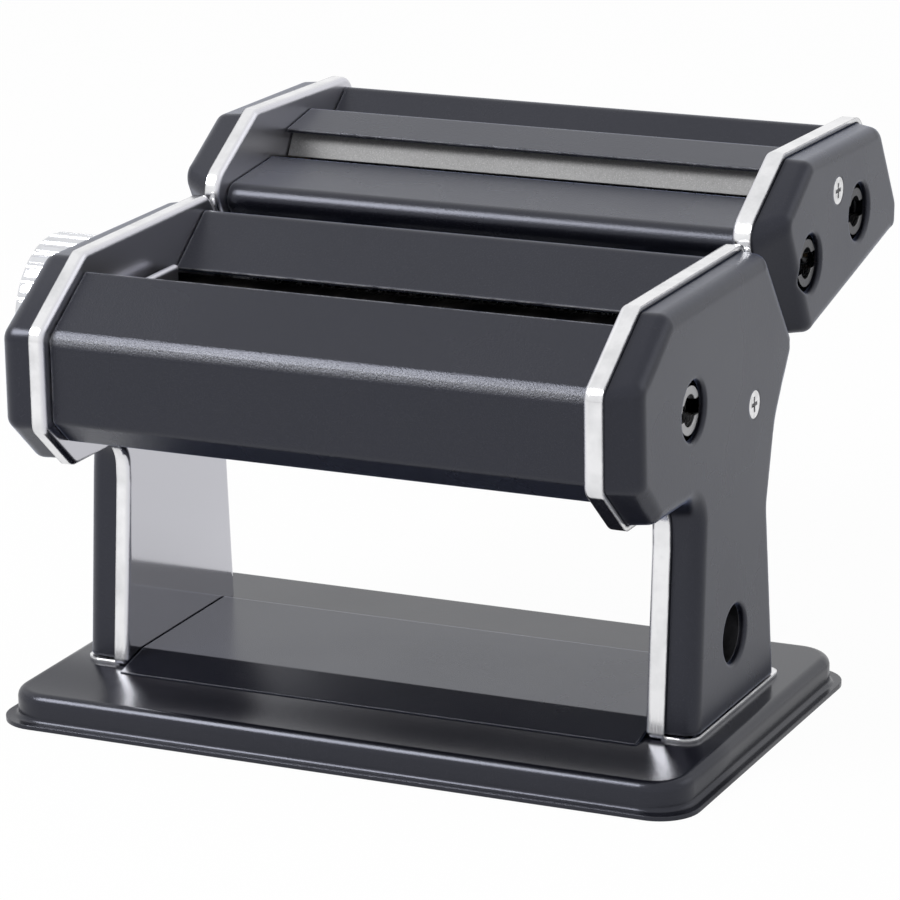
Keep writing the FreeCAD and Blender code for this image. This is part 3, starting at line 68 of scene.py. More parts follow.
def put(tree, kind, settings=None, inputs=None):
    """Adds one shader node; an input takes a value or the output of another node."""
    made = tree.nodes.new("ShaderNode" + kind)
    for name, value in (settings or {}).items():
        setattr(made, name, value)
    for key, value in (inputs or {}).items():
        if isinstance(value, bpy.types.NodeSocket):
            tree.links.new(value, made.inputs[key])
        else:
            made.inputs[key].default_value = value
    return made


def effect(name, inputs, outputs):
    """A shader node group with its named sockets; gives the tree, its inputs and its outputs."""
    tree = bpy.data.node_groups.new(name, "ShaderNodeTree")
    kinds = {"value": "NodeSocketFloat", "vector": "NodeSocketVector"}
    for label, kind in inputs:
        tree.interface.new_socket(name=label, in_out="INPUT", socket_type=kinds[kind])
    for label, kind in outputs:
        tree.interface.new_socket(name=label, in_out="OUTPUT", socket_type=kinds[kind])
    return tree, tree.nodes.new("NodeGroupInput").outputs, tree.nodes.new("NodeGroupOutput").inputs


def spread(tree, value, low, high, to_low=0.0, to_high=1.0):
    """Value stretched from low..high to to_low..to_high and held there."""
    ends = {"From Min": low, "From Max": high, "To Min": to_low, "To Max": to_high}
    return put(tree, "MapRange", inputs={"Value": value, **ends}).outputs["Result"]


def eased(tree, value, low, high, rise):
    """Value that climbs in a soft S from nothing at low to rise at high, and is held there."""
    ends = {"From Min": low, "From Max": high, "To Min": 0.0, "To Max": rise}
    soft = {"interpolation_type": "SMOOTHSTEP"}
    return put(tree, "MapRange", soft, {"Value": value, **ends}).outputs["Result"]


def math_node(tree, operation, a, b):
    """Two values joined by one operation."""
    return put(tree, "Math", {"operation": operation}, {0: a, 1: b}).outputs["Value"]


def noise(tree, place, scale, detail):
    """Cloudy value about 0.5 at a scale per metre."""
    sizes = {"Vector": place, "Scale": scale, "Detail": detail, "Roughness": 0.55}
    return put(tree, "TexNoise", inputs=sizes).outputs["Fac"]


def object_place(tree):
    """Place on the piece in metres, in the machine's own frame."""
    return put(tree, "TexCoord").outputs["Object"]


def along(tree, axis):
    """Place along one axis of the machine."""
    return put(tree, "SeparateXYZ", inputs={0: object_place(tree)}).outputs[axis]


def coat_grain_effect():
    """Powder coat: soft peel, sparse pale specks and broad cloudy patches where hands have been."""
    tree, given, out = effect(
        "coat_grain", [("Fineness", "value")],
        [("Specks", "value"), ("Patches", "value"), ("Peel", "value")])
    place = object_place(tree)
    fine = noise(tree, place, given["Fineness"], 2.0)
    specks = put(tree, "TexNoise", inputs={
        "Vector": place, "Scale": math_node(tree, "MULTIPLY", given["Fineness"], 2.3), "Detail": 1.0})
    patches = noise(tree, place, PATCH_SCALE, 4.0)
    tree.links.new(spread(tree, specks.outputs["Fac"], 0.56, 0.72), out["Specks"])
    tree.links.new(spread(tree, patches, 0.3, 0.7), out["Patches"])
    tree.links.new(fine, out["Peel"])
    return tree


def edge_wear_and_light_effect():
    """Edges: how far the normal of a rounded edge leaves the flat one, broken up by rubbing, as a mask for
    worn edges and for painted highlight and painted shade along them.
    """
    tree, given, out = effect(
        "edge_wear_and_light", [("Rounding", "value"), ("Rubbed And Lit", "value")],
        [("Worn And Lit", "value"), ("Rounded", "vector")])
    soft = put(tree, "Bevel", {"samples": 4}, {"Radius": given["Rounding"]}).outputs["Normal"]
    flat = put(tree, "NewGeometry").outputs["Normal"]
    facing = put(tree, "VectorMath", {"operation": "DOT_PRODUCT"}, {0: soft, 1: flat}).outputs["Value"]
    edge = spread(tree, facing, 0.90, 0.74)
    rubbed_and_lit = spread(tree, noise(tree, object_place(tree), RUB_SCALE, 5.0), 0.30, 0.54)
    worn = math_node(tree, "MULTIPLY", math_node(tree, "MULTIPLY", edge, rubbed_and_lit), given["Rubbed And Lit"])
    tree.links.new(worn, out["Worn And Lit"])
    tree.links.new(soft, out["Rounded"])
    return tree


COAT_GRAIN = coat_grain_effect()
EDGE_WEAR_AND_LIGHT = edge_wear_and_light_effect()


def blank(name):
    """A new material with its tree and its shader."""
    material = bpy.data.materials.new(name)
    material.use_nodes = True
    tree = material.node_tree
    return material, tree, tree.nodes["Principled BSDF"]


def placed(tree, group, inputs):
    """An effect's group in a material, with its own values."""
    made = put(tree, "Group", {"node_tree": group})
    for key, value in inputs.items():
        made.inputs[key].default_value = value
    return made.outputs


def tint(tree, share, low, high):
    """Colour between two colours by a share."""
    made = put(tree, "Mix", {"data_type": "RGBA"}, {"Factor": share})
    made.inputs["A"].default_value = (*low, 1.0)
    made.inputs["B"].default_value = (*high, 1.0)
    return made.outputs["Result"]


def tint_over(tree, share, under, high):
    """A colour laid over another material colour by a share."""
    made = put(tree, "Mix", {"data_type": "RGBA"}, {"Factor": share})
    tree.links.new(under, made.inputs["A"])
    made.inputs["B"].default_value = (*high, 1.0)
    return made.outputs["Result"]


def bumped(tree, height, depth, normal):
    """Normal of a surface that rises by depth metres where the height is one."""
    inputs = {"Height": height, "Distance": depth, "Normal": normal}
    return put(tree, "Bump", inputs=inputs).outputs["Normal"]


def black_coat(name, specks, fineness, gloss, peel_depth, rubbed_and_lit, ground=BLACK_GROUND,
               rounding=0.0005, sheen=0.4, shaped=None):
    """Black satin coat: dark ground, pale specks, patchy gloss, and pale edges, partly bare metal worn
    through and partly a painted highlight.
    """
    material, tree, shader = blank(name)
    grain = placed(tree, COAT_GRAIN, {"Fineness": fineness})
    edges = placed(tree, EDGE_WEAR_AND_LIGHT, {"Rounding": rounding, "Rubbed And Lit": rubbed_and_lit})
    shader.inputs["Specular Tint"].default_value = COAT_TINT
    shader.inputs["IOR"].default_value = COAT_IOR
    shader.inputs["Sheen Weight"].default_value = sheen
    shader.inputs["Sheen Roughness"].default_value = SHEEN_SPREAD
    shader.inputs["Sheen Tint"].default_value = SHEEN_TINT
    coloured = tint(tree, grain["Specks"], ground, specks)
    # Pale edges: partly metal worn bare, partly a painted highlight along the sheet edges.
    tree.links.new(tint_over(tree, edges["Worn And Lit"], coloured, EDGE_WEAR_AND_HIGHLIGHT), shader.inputs["Base Color"])
    rough = spread(tree, grain["Patches"], 0.0, 1.0, gloss - 0.03, gloss + 0.04)
    tree.links.new(rough, shader.inputs["Roughness"])
    shape = shaped(tree, edges["Rounded"]) if shaped else edges["Rounded"]
    tree.links.new(bumped(tree, grain["Peel"], peel_depth, shape), shader.inputs["Normal"])
    return material


def dress(material, *names):
    """Gives CAD nodes a material in their own slots."""
    for name in names:
        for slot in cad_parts[name].material_slots:
            slot.material = material


def apron_fall(tree, normal):
    """Normal of the apron: its height climbs in a soft S from the front edge to under the tray."""
    rise = APRON_SLOPE * (APRON_END - APRON_START)
    return bumped(tree, eased(tree, along(tree, "Y"), APRON_START, APRON_END, rise), 1.0, normal)


base_coat = black_coat(
    "base_powder_coat", PRESSED_SPECKS, fineness=1500.0, gloss=0.21, peel_depth=0.00002, rubbed_and_lit=0.10,
    sheen=0.05, shaped=apron_fall)
dress(base_coat, "base_plate")
tray_coat = black_coat(
    "tray_powder_coat", PRESSED_SPECKS, fineness=1500.0, gloss=0.24, peel_depth=0.00002, rubbed_and_lit=0.10)
dress(tray_coat, "under_tray")

# Side plates and dough guides
# Stamped steel plates with a flange turned outwards all round, polished and chromed in one go.
# The webs mirror in the legs and are dulled by grease at the rollers; the flanges keep brush lines.
PLATE_CENTRE_X = 0.0061
WEB_FACE = 0.0764
FLANGE_START = 0.0774
GREASE_Z = 0.088
GREASE_FADE = 0.012
WEB_CHROME = (0.65, 0.65, 0.70)
FLANGE_CHROME = (0.82, 0.82, 0.835)
SMUDGED_CHROME = (0.60, 0.605, 0.62)
EDGE_CHROME_SHADE = (0.40, 0.40, 0.42)
METAL_ROUNDING = 0.0003
EDGE_SHINE = 1.12


def brushed_effect():
    """Brush lines: noise drawn out along chosen axes, with broad dull smudges over it."""
    tree, given, out = effect(
        "brushed_metal", [("Stretch", "vector"), ("Smudge Size", "value")],
        [("Lines", "value"), ("Smudges", "value")])
    place = object_place(tree)
    drawn = put(tree, "VectorMath", {"operation": "MULTIPLY"}, {0: place, 1: given["Stretch"]})
    tree.links.new(noise(tree, drawn.outputs["Vector"], 1.0, 3.0), out["Lines"])
    per_metre = math_node(tree, "DIVIDE", 1.0, given["Smudge Size"])
    tree.links.new(spread(tree, noise(tree, place, per_metre, 4.0), 0.42, 0.68), out["Smudges"])
    return tree


BRUSHED = brushed_effect()


def lined_gloss(tree, lines, low, high):
    """Roughness that follows the brush lines from low to high."""
    return spread(tree, lines, 0.3, 0.7, low, high)


def from_centre(tree):
    """Distance across from the middle between the two side plates."""
    off = math_node(tree, "SUBTRACT", along(tree, "X"), PLATE_CENTRE_X)
    return math_node(tree, "ABSOLUTE", off, 0.0)


def metal(name, clean, dull, stretch, rough, smudge_size=0.012, line_depth=0.000004):
    """Bare or plated metal: two tones, gloss from brush lines and smudges, softened edges with a painted
    highlight.
    """
    material, tree, shader = blank(name)
    marks = placed(tree, BRUSHED, {"Stretch": stretch, "Smudge Size": smudge_size})
    edges = placed(tree, EDGE_WEAR_AND_LIGHT, {"Rounding": METAL_ROUNDING, "Rubbed And Lit": 1.0})
    shader.inputs["Metallic"].default_value = 1.0
    toned = tint(tree, math_node(tree, "MULTIPLY", marks["Smudges"], 0.8), clean, dull)
    # Edges are painted brighter than the metal: a painted highlight.
    bright = tuple(min(1.0, c * EDGE_SHINE) for c in clean)
    tree.links.new(tint_over(tree, edges["Worn And Lit"], toned, bright), shader.inputs["Base Color"])
    tree.links.new(lined_gloss(tree, marks["Lines"], *rough), shader.inputs["Roughness"])
    tree.links.new(bumped(tree, marks["Lines"], line_depth, edges["Rounded"]), shader.inputs["Normal"])
    return material


def chrome_plate():
    """Chrome: mirror webs inside, brushed and smudged flanges outside, told apart by x, with painted shade
    along the edges.
    """
    material, tree, shader = blank("side_plate_chrome")
    marks = placed(tree, BRUSHED, {"Stretch": (2600.0, 70.0, 70.0), "Smudge Size": 0.009})
    edges = placed(tree, EDGE_WEAR_AND_LIGHT, {"Rounding": 0.0008, "Rubbed And Lit": 1.0})
    shader.inputs["Metallic"].default_value = 1.0
    flange = spread(tree, from_centre(tree), WEB_FACE, FLANGE_START)
    smudged = math_node(tree, "MULTIPLY", marks["Smudges"], math_node(tree, "MULTIPLY", flange, 0.6))
    toned = tint_over(tree, smudged, tint(tree, flange, WEB_CHROME, FLANGE_CHROME), SMUDGED_CHROME)
    # Edges painted darker: painted shade along the flange bends and beside the covers.
    tree.links.new(tint_over(tree, edges["Worn And Lit"], toned, EDGE_CHROME_SHADE), shader.inputs["Base Color"])
    greased = spread(tree, along(tree, "Z"), GREASE_Z - GREASE_FADE, GREASE_Z, 0.08, 0.30)
    lines = lined_gloss(tree, marks["Lines"], 0.08, 0.20)
    rough = put(tree, "Mix", {"data_type": "FLOAT"}, {"Factor": flange, "A": greased, "B": lines})
    tree.links.new(rough.outputs["Result"], shader.inputs["Roughness"])
    height = math_node(tree, "MULTIPLY", marks["Lines"], flange)
    tree.links.new(bumped(tree, height, 0.000006, edges["Rounded"]), shader.inputs["Normal"])
    return material


dress(
    chrome_plate(), "left_side_plate", "right_side_plate", "left_dough_guide", "right_dough_guide",
    "cutter_left_plate", "cutter_right_plate")

# Rollers, shaft and crank sockets
# Solid and hollow rollers turned from bar, coloured near black as painted shade for the slot they sit in,
# with fine rings left round them by the tool.
# The driven one ends in a slotted socket for the crank, left bright, as is the ground adjusting shaft.
BRIGHT_FROM = 0.0840
BRIGHT_FADE = 0.0006
BLACK_SHINE = (0.25, 0.25, 0.26, 1.0)
BLACK_EDGE = (0.16, 0.16, 0.165)
TURNED_RINGS = (4200.0, 90.0, 90.0)


def shade_black_steel(name, black, worn, bare_end):
    """Steel coloured near black as painted shade: dark rings along it, brownish in patches, and bare at
    the socket by x.
    """
    material, tree, shader = blank(name)
    marks = placed(tree, BRUSHED, {"Stretch": TURNED_RINGS, "Smudge Size": 0.010})
    edges = placed(tree, EDGE_WEAR_AND_LIGHT, {"Rounding": METAL_ROUNDING, "Rubbed And Lit": 0.7})
    shader.inputs["Metallic"].default_value = 1.0
    shader.inputs["Specular Tint"].default_value = BLACK_SHINE
    bare = spread(tree, along(tree, "X"), BRIGHT_FROM, BRIGHT_FROM + BRIGHT_FADE)
    rubbed_and_lit = tint_over(tree, edges["Worn And Lit"], tint(tree, marks["Smudges"], black, worn), BLACK_EDGE)
    tree.links.new(tint_over(tree, bare, rubbed_and_lit, bare_end), shader.inputs["Base Color"])
    tree.links.new(lined_gloss(tree, marks["Lines"], 0.20, 0.36), shader.inputs["Roughness"])
    tree.links.new(bumped(tree, marks["Lines"], 0.000004, edges["Rounded"]), shader.inputs["Normal"])
    return material


roller_steel = shade_black_steel(
    "roller_steel_black_for_shade", black=(0.012, 0.012, 0.013), worn=(0.030, 0.029, 0.028),
    bare_end=(0.60, 0.60, 0.61))
dress(roller_steel, "front_roller", "rear_roller")
ground_steel = metal(
    "ground_shaft_steel", clean=(0.62, 0.63, 0.65), dull=(0.47, 0.48, 0.49), stretch=TURNED_RINGS,
    rough=(0.16, 0.32))
dress(ground_steel, "adjusting_shaft")

# Gears, clip and bushes
# Hobbed steel gears with a film of oil, a spring clip, and bushes pressed from sintered bronze.
# All sit behind the left covers, or in the plates' holes.
gear_steel = metal(
    "oiled_gear_steel", clean=(0.36, 0.36, 0.37), dull=(0.22, 0.21, 0.20),
    stretch=(300.0, 900.0, 900.0), rough=(0.22, 0.42), smudge_size=0.006)
dress(
    gear_steel, "front_roller_gear", "rear_roller_gear", "gear_circlip", "narrow_drive_gear",
    "narrow_idle_gear", "wide_drive_gear", "wide_idle_gear")
sintered_bronze = metal(
    "sintered_bronze", clean=(0.58, 0.40, 0.20), dull=(0.40, 0.26, 0.13),
    stretch=(1500.0, 1500.0, 1500.0), rough=(0.34, 0.52), smudge_size=0.004, line_depth=0.00002)
dress(
    sintered_bronze, "front_roller_bushes", "floating_bushes", "shaft_plate_bush", "shaft_cover_bush",
    "cutter_bushes")

# Scrapers, tie rods and hidden fasteners
# Spring-steel strips that keep dough off the rollers, and drawn rods that hold the plates apart.
# Rods, posts, nuts and screws are plain steel with bright zinc on them.
spring_steel = metal(
    "blued_spring_steel", clean=(0.13, 0.13, 0.145), dull=(0.08, 0.08, 0.085),
    stretch=(60.0, 2400.0, 2400.0), rough=(0.20, 0.34))
dress(spring_steel, "front_scraper", "rear_scraper", "narrow_combs", "wide_combs")
bright_zinc = metal(
    "bright_zinc", clean=(0.70, 0.71, 0.73), dull=(0.48, 0.49, 0.50),
    stretch=(700.0, 700.0, 700.0), rough=(0.18, 0.34), smudge_size=0.003)
dress(
    bright_zinc, "tie_rods", "tie_rod_screws", "base_screws", "base_nuts", "cover_posts",
    "cutter_tie_rods", "cutter_tie_screws", "cutter_cover_posts")

# Front cover and hopper plate
# Sheet steel folded along the rollers and slid between the plates before the coat is baked.
# Their free edges were rolled smooth, catch the light and carry a painted highlight; the upper fold
# carries a pale, grainy painted highlight.
FOLDED_SPECKS = (0.018, 0.018, 0.023)
FOLDED_ROUNDING = 0.0010
FOLD_PLACE = (0.0, -0.0944, 0.11054)
FOLD_NEAREST = 0.00036
FOLD_REACH = 0.0032
FOLD_DROP = 0.00066
FOLD_HIGHLIGHT_REACH = 0.0024
FOLD_GRAIN = 3000.0
FOLD_HIGHLIGHT_PALE = (0.17, 0.17, 0.172)


def fold_distance(tree):
    """Distance from the line that the upper fold runs along, seen from the side."""
    sideways = {0: object_place(tree), 1: (0.0, 1.0, 1.0)}
    flat_place = put(tree, "VectorMath", {"operation": "MULTIPLY"}, sideways).outputs["Vector"]
    ends = {0: flat_place, 1: FOLD_PLACE}
    return put(tree, "VectorMath", {"operation": "DISTANCE"}, ends).outputs["Value"]


def rolled_fold(tree, normal):
    """Normal of the soft upper fold: the height drops in an S from the reach down to the fold's line."""
    height = eased(tree, fold_distance(tree), FOLD_NEAREST, FOLD_REACH, FOLD_DROP)
    return bumped(tree, height, 1.0, normal)


def fold_painted_highlight(material):
    """Lays a pale, broken painted highlight over a coat's colour, more of it the nearer the upper fold."""
    tree = material.node_tree
    colour = tree.nodes["Principled BSDF"].inputs["Base Color"]
    near = spread(tree, fold_distance(tree), FOLD_HIGHLIGHT_REACH, FOLD_NEAREST)
    broken = spread(tree, noise(tree, object_place(tree), FOLD_GRAIN, 2.0), 0.34, 0.68)
    share = math_node(tree, "MULTIPLY", near, broken)
    tree.links.new(tint_over(tree, share, colour.links[0].from_socket, FOLD_HIGHLIGHT_PALE), colour)


front_coat = black_coat(
    "front_cover_coat", FOLDED_SPECKS, fineness=2000.0, gloss=0.26, peel_depth=0.00009, rubbed_and_lit=0.9,
    rounding=FOLDED_ROUNDING, shaped=rolled_fold)
fold_painted_highlight(front_coat)
dress(front_coat, "front_cover")
hopper_coat = black_coat(
    "hopper_plate_coat", FOLDED_SPECKS, fineness=1600.0, gloss=0.28, peel_depth=0.00004, rubbed_and_lit=0.9,
    rounding=FOLDED_ROUNDING)
dress(hopper_coat, "rear_cover")

# Side covers, their screws and the clamp hole
# Drafted covers with soft edges, coated the same black but smoother, held by one cross-head screw each.
# The right one is bored for the crank and, low on the leg, for the table clamp, with a dark sleeve behind.
SIDE_GROUND = (0.0042, 0.0044, 0.0080)
SIDE_SPECKS = (0.013, 0.013, 0.018)
SCREW_FACE = 0.0890
SCREW_FADE = 0.0004
SCREW_BRIGHT = (0.88, 0.88, 0.89)
SCREW_DULL = (0.66, 0.66, 0.67)
SCREW_RECESS_SHADE = (0.05, 0.05, 0.055)
side_coat = black_coat(
    "side_cover_coat", SIDE_SPECKS, fineness=1300.0, gloss=0.27, peel_depth=0.00002, rubbed_and_lit=0.06,
    ground=SIDE_GROUND, rounding=0.0012)
dress(side_coat, "left_side_cover", "right_side_cover", "cutter_left_cover", "cutter_right_cover")


def cover_screw_plate():
    """Plated screw head: bright face, and painted shade in the cross recess, told apart by x."""
    material, tree, shader = blank("plated_cover_screw")
    marks = placed(tree, BRUSHED, {"Stretch": (400.0, 1400.0, 1400.0), "Smudge Size": 0.002})
    edges = placed(tree, EDGE_WEAR_AND_LIGHT, {"Rounding": 0.0002, "Rubbed And Lit": 1.0})
    shader.inputs["Metallic"].default_value = 1.0
    deep = spread(tree, from_centre(tree), SCREW_FACE, SCREW_FACE - SCREW_FADE)
    bright = tint(tree, marks["Smudges"], SCREW_BRIGHT, SCREW_DULL)
    tree.links.new(tint_over(tree, deep, bright, SCREW_RECESS_SHADE), shader.inputs["Base Color"])
    tree.links.new(lined_gloss(tree, marks["Lines"], 0.14, 0.30), shader.inputs["Roughness"])
    tree.links.new(bumped(tree, marks["Lines"], 0.000004, edges["Rounded"]), shader.inputs["Normal"])
    return material


dress(cover_screw_plate(), "cover_screws", "cutter_cover_screws")
sleeve_steel = metal(
    "clamp_sleeve_steel", clean=(0.10, 0.10, 0.11), dull=(0.06, 0.06, 0.06),
    stretch=(500.0, 900.0, 900.0), rough=(0.35, 0.5))
dress(sleeve_steel, "clamp_sleeve")

# Thickness knob
# A turned and plated knob with flutes round its grip, and the settings 1 to 9 printed on its plain skirt.
# It is pulled out and turned to set, and a coil spring sits in its well against the cap.
SPRING_TURNS = 5
SPRING_STEPS = 32
WIRE_R = 0.0006
WIRE_SIDES = 12
SETTINGS = 9
SETTING_TURN = math.radians(180.0 / (SETTINGS - 1))
SKIRT_R = 0.0210
PRINT_T = 0.00006
PRINT_BLACK = (0.02, 0.02, 0.022)
FIGURE_H = 0.0027
FIGURE_SHARE = 0.7
FIGURE_X = 0.0036
TICK_X = 0.0018
TICK_L = 0.0011
TICK_W = 0.00035
knob_plate = metal(
    "plated_knob", clean=(0.72, 0.73, 0.76), dull=(0.54, 0.55, 0.57),
    stretch=(2200.0, 120.0, 120.0), rough=(0.07, 0.16))
dress(knob_plate, "thickness_knob", "knob_cap", "index_plate", "detent_pin")


def printed_ink(name, ink):
    """Screen-printed ink: its colour thins in a fine mottle, with a dull, slightly raised surface."""
    material, tree, shader = blank(name)
    mottle = noise(tree, object_place(tree), 2600.0, 3.0)
    thin = tuple(0.7 * c + 0.05 for c in ink)
    tree.links.new(tint(tree, spread(tree, mottle, 0.45, 0.8), ink, thin), shader.inputs["Base Color"])
    tree.links.new(spread(tree, mottle, 0.3, 0.7, 0.42, 0.60), shader.inputs["Roughness"])
    bump = put(tree, "Bump", inputs={"Height": mottle, "Distance": 0.00001})
    tree.links.new(bump.outputs["Normal"], shader.inputs["Normal"])
    return material


def figure_mesh(figure):
    """Flat printed figure as points (right, up, off the paper) and faces, centred on its middle."""
    letter = bpy.data.curves.new("figure", "FONT")
    letter.body = figure
    letter.size = FIGURE_H / FIGURE_SHARE
    letter.extrude = PRINT_T / 2
    letter.resolution_u = 4
    holder = bpy.data.objects.new("figure", letter)
    bpy.context.scene.collection.objects.link(holder)
    bpy.context.view_layer.update()
    drawn = holder.evaluated_get(bpy.context.evaluated_depsgraph_get())
    mesh = bpy.data.meshes.new_from_object(drawn)
    points = np.empty(3 * len(mesh.vertices))
    mesh.vertices.foreach_get("co", points)
    points = points.reshape(-1, 3)
    points[:, :2] -= (points[:, :2].max(axis=0) + points[:, :2].min(axis=0)) / 2
    faces = [tuple(face.vertices) for face in mesh.polygons]
    bpy.data.objects.remove(holder)
    return points, faces


def bar_mesh(right, up, thick):
    """A flat bar of given length, height and thickness as eight corners and six faces."""
    signs = np.array(np.meshgrid((-1, 1), (-1, 1), (-1, 1), indexing="ij")).reshape(3, -1).T
    faces = [(0, 1, 3, 2), (4, 6, 7, 5), (0, 4, 5, 1), (2, 3, 7, 6), (0, 2, 6, 4), (1, 5, 7, 3)]
    return signs * np.array((right, up, thick)) / 2, faces


def rolled_on(points, x, turn, axis):
    """Flat print wrapped on a drum: right runs along x, up runs round the axis from top to back."""
    angle = turn + points[:, 1] / SKIRT_R
    r = SKIRT_R + points[:, 2]
    y, z = axis[0] + r * np.sin(angle), axis[1] + r * np.cos(angle)
    return np.stack((x + points[:, 0], y, z), axis=1)


def joined(name, meshes):
    """One object from several lists of points and faces."""
    starts = np.cumsum([0] + [len(points) for points, _ in meshes])
    faces = [
        tuple(int(start) + i for i in face)
        for start, (_, own_faces) in zip(starts, meshes) for face in own_faces]
    mesh = bpy.data.meshes.new(name)
    mesh.from_pydata(np.concatenate([points for points, _ in meshes]).tolist(), [], faces)
    mesh.update()
    made = bpy.data.objects.new(name, mesh)
    bpy.context.scene.collection.objects.link(made)
    return made


def coiled_wire(low, high):
    """Round wire on a helix inside a box, as points and faces: a ring of points at each step, capped."""
    steps = SPRING_TURNS * SPRING_STEPS
    coil_r = (high[1] - low[1]) / 2 - WIRE_R
    axis_y, axis_z = (low[1] + high[1]) / 2, (low[2] + high[2]) / 2
    run = high[0] - low[0] - 2 * WIRE_R
    across = np.array((1.0, 0.0, 0.0))
    points = []
    for step in range(steps + 1):
        turn = 2 * math.pi * step / SPRING_STEPS
        out = np.array((0.0, math.cos(turn), math.sin(turn)))
        middle = np.array((high[0] - WIRE_R - run * step / steps, axis_y, axis_z)) + coil_r * out
        for side in range(WIRE_SIDES):
            a = 2 * math.pi * side / WIRE_SIDES
            points.append(middle + WIRE_R * (math.cos(a) * out + math.sin(a) * across))
    faces = []
    for step in range(steps):
        here, ahead = step * WIRE_SIDES, (step + 1) * WIRE_SIDES
        for side in range(WIRE_SIDES):
            after = (side + 1) % WIRE_SIDES
            faces.append((here + side, ahead + side, ahead + after, here + after))
    faces.append(tuple(range(WIRE_SIDES)))
    faces.append(tuple(steps * WIRE_SIDES + side for side in reversed(range(WIRE_SIDES))))
    return np.array(points), faces


spring_low, spring_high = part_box("knob_spring")
coil_spring = joined("coil_spring", [coiled_wire(spring_low, spring_high)])
coil_spring.data.shade_smooth()
coil_spring.data.materials.append(spring_steel)
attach(coil_spring, "knob")
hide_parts("knob_spring")
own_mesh(coil_spring)

knob_low, knob_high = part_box("thickness_knob")
knob_axis = ((knob_low[1] + knob_high[1]) / 2, (knob_low[2] + knob_high[2]) / 2)
skirt_x = knob_high[0]
prints = []
for setting in range(SETTINGS):
    turn = -SETTING_TURN * setting
    points, faces = figure_mesh(str(setting + 1))
    prints.append((rolled_on(points, skirt_x - FIGURE_X, turn, knob_axis), faces))
    points, faces = bar_mesh(TICK_L, TICK_W, PRINT_T)
    prints.append((rolled_on(points, skirt_x - TICK_X, turn, knob_axis), faces))
dial_print = joined("dial_print", prints)
dial_print.data.materials.append(printed_ink("dial_ink", PRINT_BLACK))
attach(dial_print, "knob")

# Rails and tongues
# Pressed channels spot-welded to the hopper plate's back, and tongues on the cutter unit that drop in.
# Both wear the tray's black coat.
dress(tray_coat, "rear_rails", "cutter_tongues")

# Cutter unit
# Two folded sheets, a rounded front cover and a rear cover, coated black like the body, close it.
# A grey coated strip guides the sheet of dough into the narrow cutters, which are turned from steel.
GREY_DARK = (0.165, 0.165, 0.167)
GREY_PALE = (0.275, 0.275, 0.279)
GREY_SPECKS = (0.35, 0.35, 0.352)
cutter_coat = black_coat(
    "cutter_cover_coat", FOLDED_SPECKS, fineness=1600.0, gloss=0.27, peel_depth=0.00004, rubbed_and_lit=0.4,
    rounding=FOLDED_ROUNDING)
dress(cutter_coat, "cutter_front_cover", "cutter_top_cover", "cutter_rear_cover")
# The cutters are coloured near black as painted shade for the slot they sit in.
cutter_steel = shade_black_steel(
    "cutter_steel_black_for_shade", black=(0.020, 0.020, 0.022), worn=(0.045, 0.044, 0.043),
    bare_end=(0.28, 0.28, 0.285))
dress(
    cutter_steel, "narrow_drive_cutter", "narrow_idle_cutter", "wide_drive_cutter", "wide_idle_cutter")


def grey_coat():
    """Warm grey coat: a sandy speckle of darker and paler grains over a satin ground."""
    material, tree, shader = blank("grey_strip_coat")
    grain = placed(tree, COAT_GRAIN, {"Fineness": 1500.0})
    edges = placed(tree, EDGE_WEAR_AND_LIGHT, {"Rounding": 0.0004, "Rubbed And Lit": 0.4})
    ground = tint(tree, grain["Peel"], GREY_DARK, GREY_PALE)
    tree.links.new(tint_over(tree, grain["Specks"], ground, GREY_SPECKS), shader.inputs["Base Color"])
    tree.links.new(spread(tree, grain["Patches"], 0.0, 1.0, 0.42, 0.52), shader.inputs["Roughness"])
    tree.links.new(bumped(tree, grain["Peel"], 0.00005, edges["Rounded"]), shader.inputs["Normal"])
    return material


dress(grey_coat(), "slot_strip")

# Studio
# A pale floor under a white surround, a small soft lamp in front and a broad one each side.
# The camera stands at the photograph's height and turn, with a long lens.
FLOOR_HALF = 4.0
FLOOR_SEEN = 0.97
FLOOR_MIRRORED = 0.60
WHITE = (1.0, 1.0, 1.0, 1.0)
FILL_STRENGTH = 0.45
LAMP_AIM = (0.0, 0.0, 0.08)
CAMERA_PLACE = (0.51858, -1.10893, 0.42144)
CAMERA_YAW = math.radians(25.045)
CAMERA_PITCH = math.radians(16.365)
CAMERA_ROLL = math.radians(-0.976)
CAMERA_LENS = 186.3
CAMERA_SENSOR = 36.0


def white_floor():
    """Pale floor that shows white to the eye and to polished metal, and keeps a faint shadow."""
    material, tree, shader = blank("studio_floor")
    grain = noise(tree, object_place(tree), 40.0, 3.0)
    tree.links.new(spread(tree, grain, 0.3, 0.7, 0.86, 0.90), shader.inputs["Base Color"])
    shader.inputs["Roughness"].default_value = 0.9
    path = put(tree, "LightPath").outputs
    mirrored = math_node(tree, "MAXIMUM", path["Is Glossy Ray"], path["Is Transmission Ray"])
    glow = put(tree, "Emission", inputs={"Color": WHITE, "Strength": 1.0})
    direct = math_node(tree, "MULTIPLY", path["Is Camera Ray"], FLOOR_SEEN)
    share = math_node(tree, "MAXIMUM", direct, math_node(tree, "MULTIPLY", mirrored, FLOOR_MIRRORED))
    mixed = put(tree, "MixShader", inputs={0: share, 1: shader.outputs["BSDF"], 2: glow.outputs[0]})
    tree.links.new(mixed.outputs[0], tree.nodes["Material Output"].inputs["Surface"])
    return material


corners = np.array(((-1, -1, 0), (1, -1, 0), (1, 1, 0), (-1, 1, 0))) * FLOOR_HALF
floor = joined("floor", [(corners, [(0, 1, 2, 3)])])
floor.data.materials.append(white_floor())

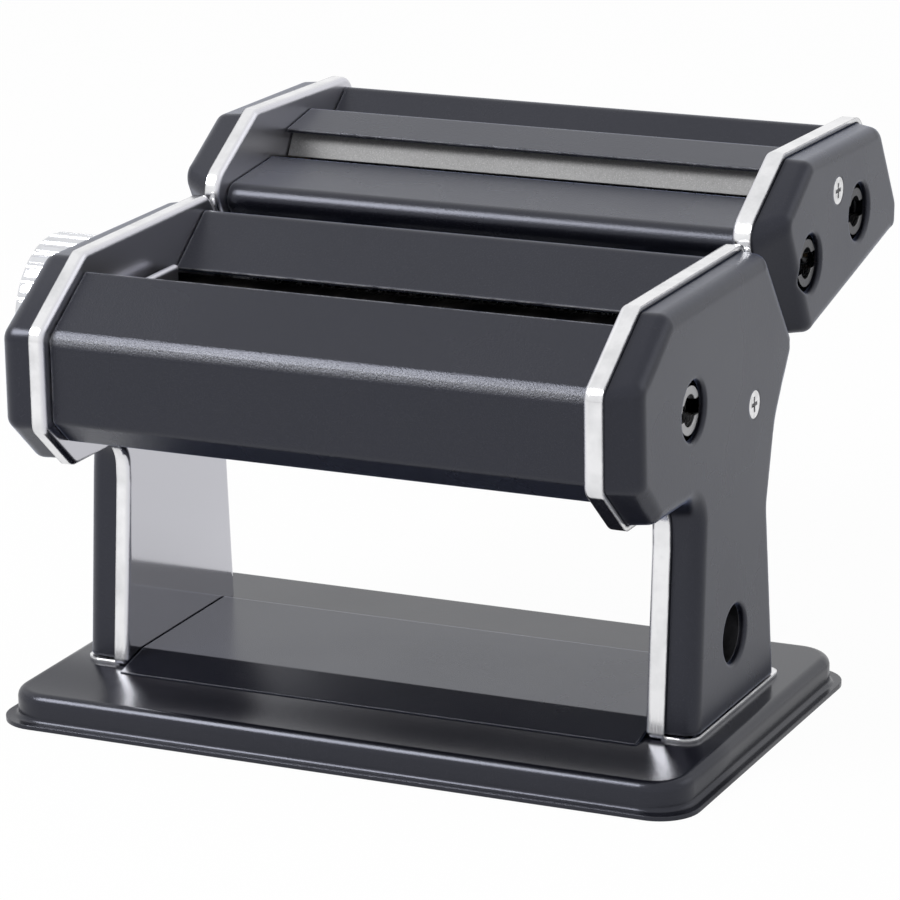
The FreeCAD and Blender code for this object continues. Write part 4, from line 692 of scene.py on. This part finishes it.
world = bpy.data.worlds.new("studio_surround")
world.use_nodes = True
bpy.context.scene.world = world
air = world.node_tree
air.nodes.clear()
path = put(air, "LightPath").outputs
seen = math_node(air, "MAXIMUM", path["Is Camera Ray"], path["Is Glossy Ray"])
seen = math_node(air, "MAXIMUM", seen, path["Is Transmission Ray"])
fill = put(air, "Background", inputs={"Color": WHITE, "Strength": FILL_STRENGTH})
white = put(air, "Background", inputs={"Color": WHITE, "Strength": 1.0})
both = put(air, "MixShader", inputs={0: seen, 1: fill.outputs[0], 2: white.outputs[0]})
put(air, "OutputWorld", inputs={"Surface": both.outputs[0]})


def soft_lamp(name, place, size, power):
    """Square lamp at a place, turned to the middle of the machine."""
    lamp = bpy.data.lights.new(name, "AREA")
    lamp.shape = "SQUARE"
    lamp.size = size
    lamp.energy = power
    made = bpy.data.objects.new(name, lamp)
    made.location = place
    way = np.array(LAMP_AIM) - np.array(place)
    made.rotation_euler = Vector(way.tolist()).to_track_quat("-Z", "Y").to_euler()
    bpy.context.scene.collection.objects.link(made)


soft_lamp("front_left_lamp", place=(-0.60, -0.74, 1.00), size=0.60, power=13.0)
soft_lamp("left_lamp", place=(-1.2, 0.1, 1.1), size=0.9, power=0.5)
soft_lamp("right_lamp", place=(1.3, 0.6, 1.0), size=0.9, power=1.5)

ahead = np.array((
    -math.sin(CAMERA_YAW) * math.cos(CAMERA_PITCH), math.cos(CAMERA_YAW) * math.cos(CAMERA_PITCH),
    -math.sin(CAMERA_PITCH)))
level = np.array((math.cos(CAMERA_YAW), math.sin(CAMERA_YAW), 0.0))
upward = np.cross(level, ahead)
right = math.cos(CAMERA_ROLL) * level + math.sin(CAMERA_ROLL) * upward
upright = math.cos(CAMERA_ROLL) * upward - math.sin(CAMERA_ROLL) * level
camera = bpy.data.objects.new("camera", bpy.data.cameras.new("camera"))
camera.data.lens = CAMERA_LENS
camera.data.sensor_width = CAMERA_SENSOR
turned = np.eye(4)
turned[:3, 0], turned[:3, 1], turned[:3, 2], turned[:3, 3] = right, upright, -ahead, CAMERA_PLACE
camera.matrix_world = Matrix(turned.tolist())
bpy.context.scene.collection.objects.link(camera)
bpy.context.scene.camera = camera
bpy.context.scene.view_settings.view_transform = "Standard"
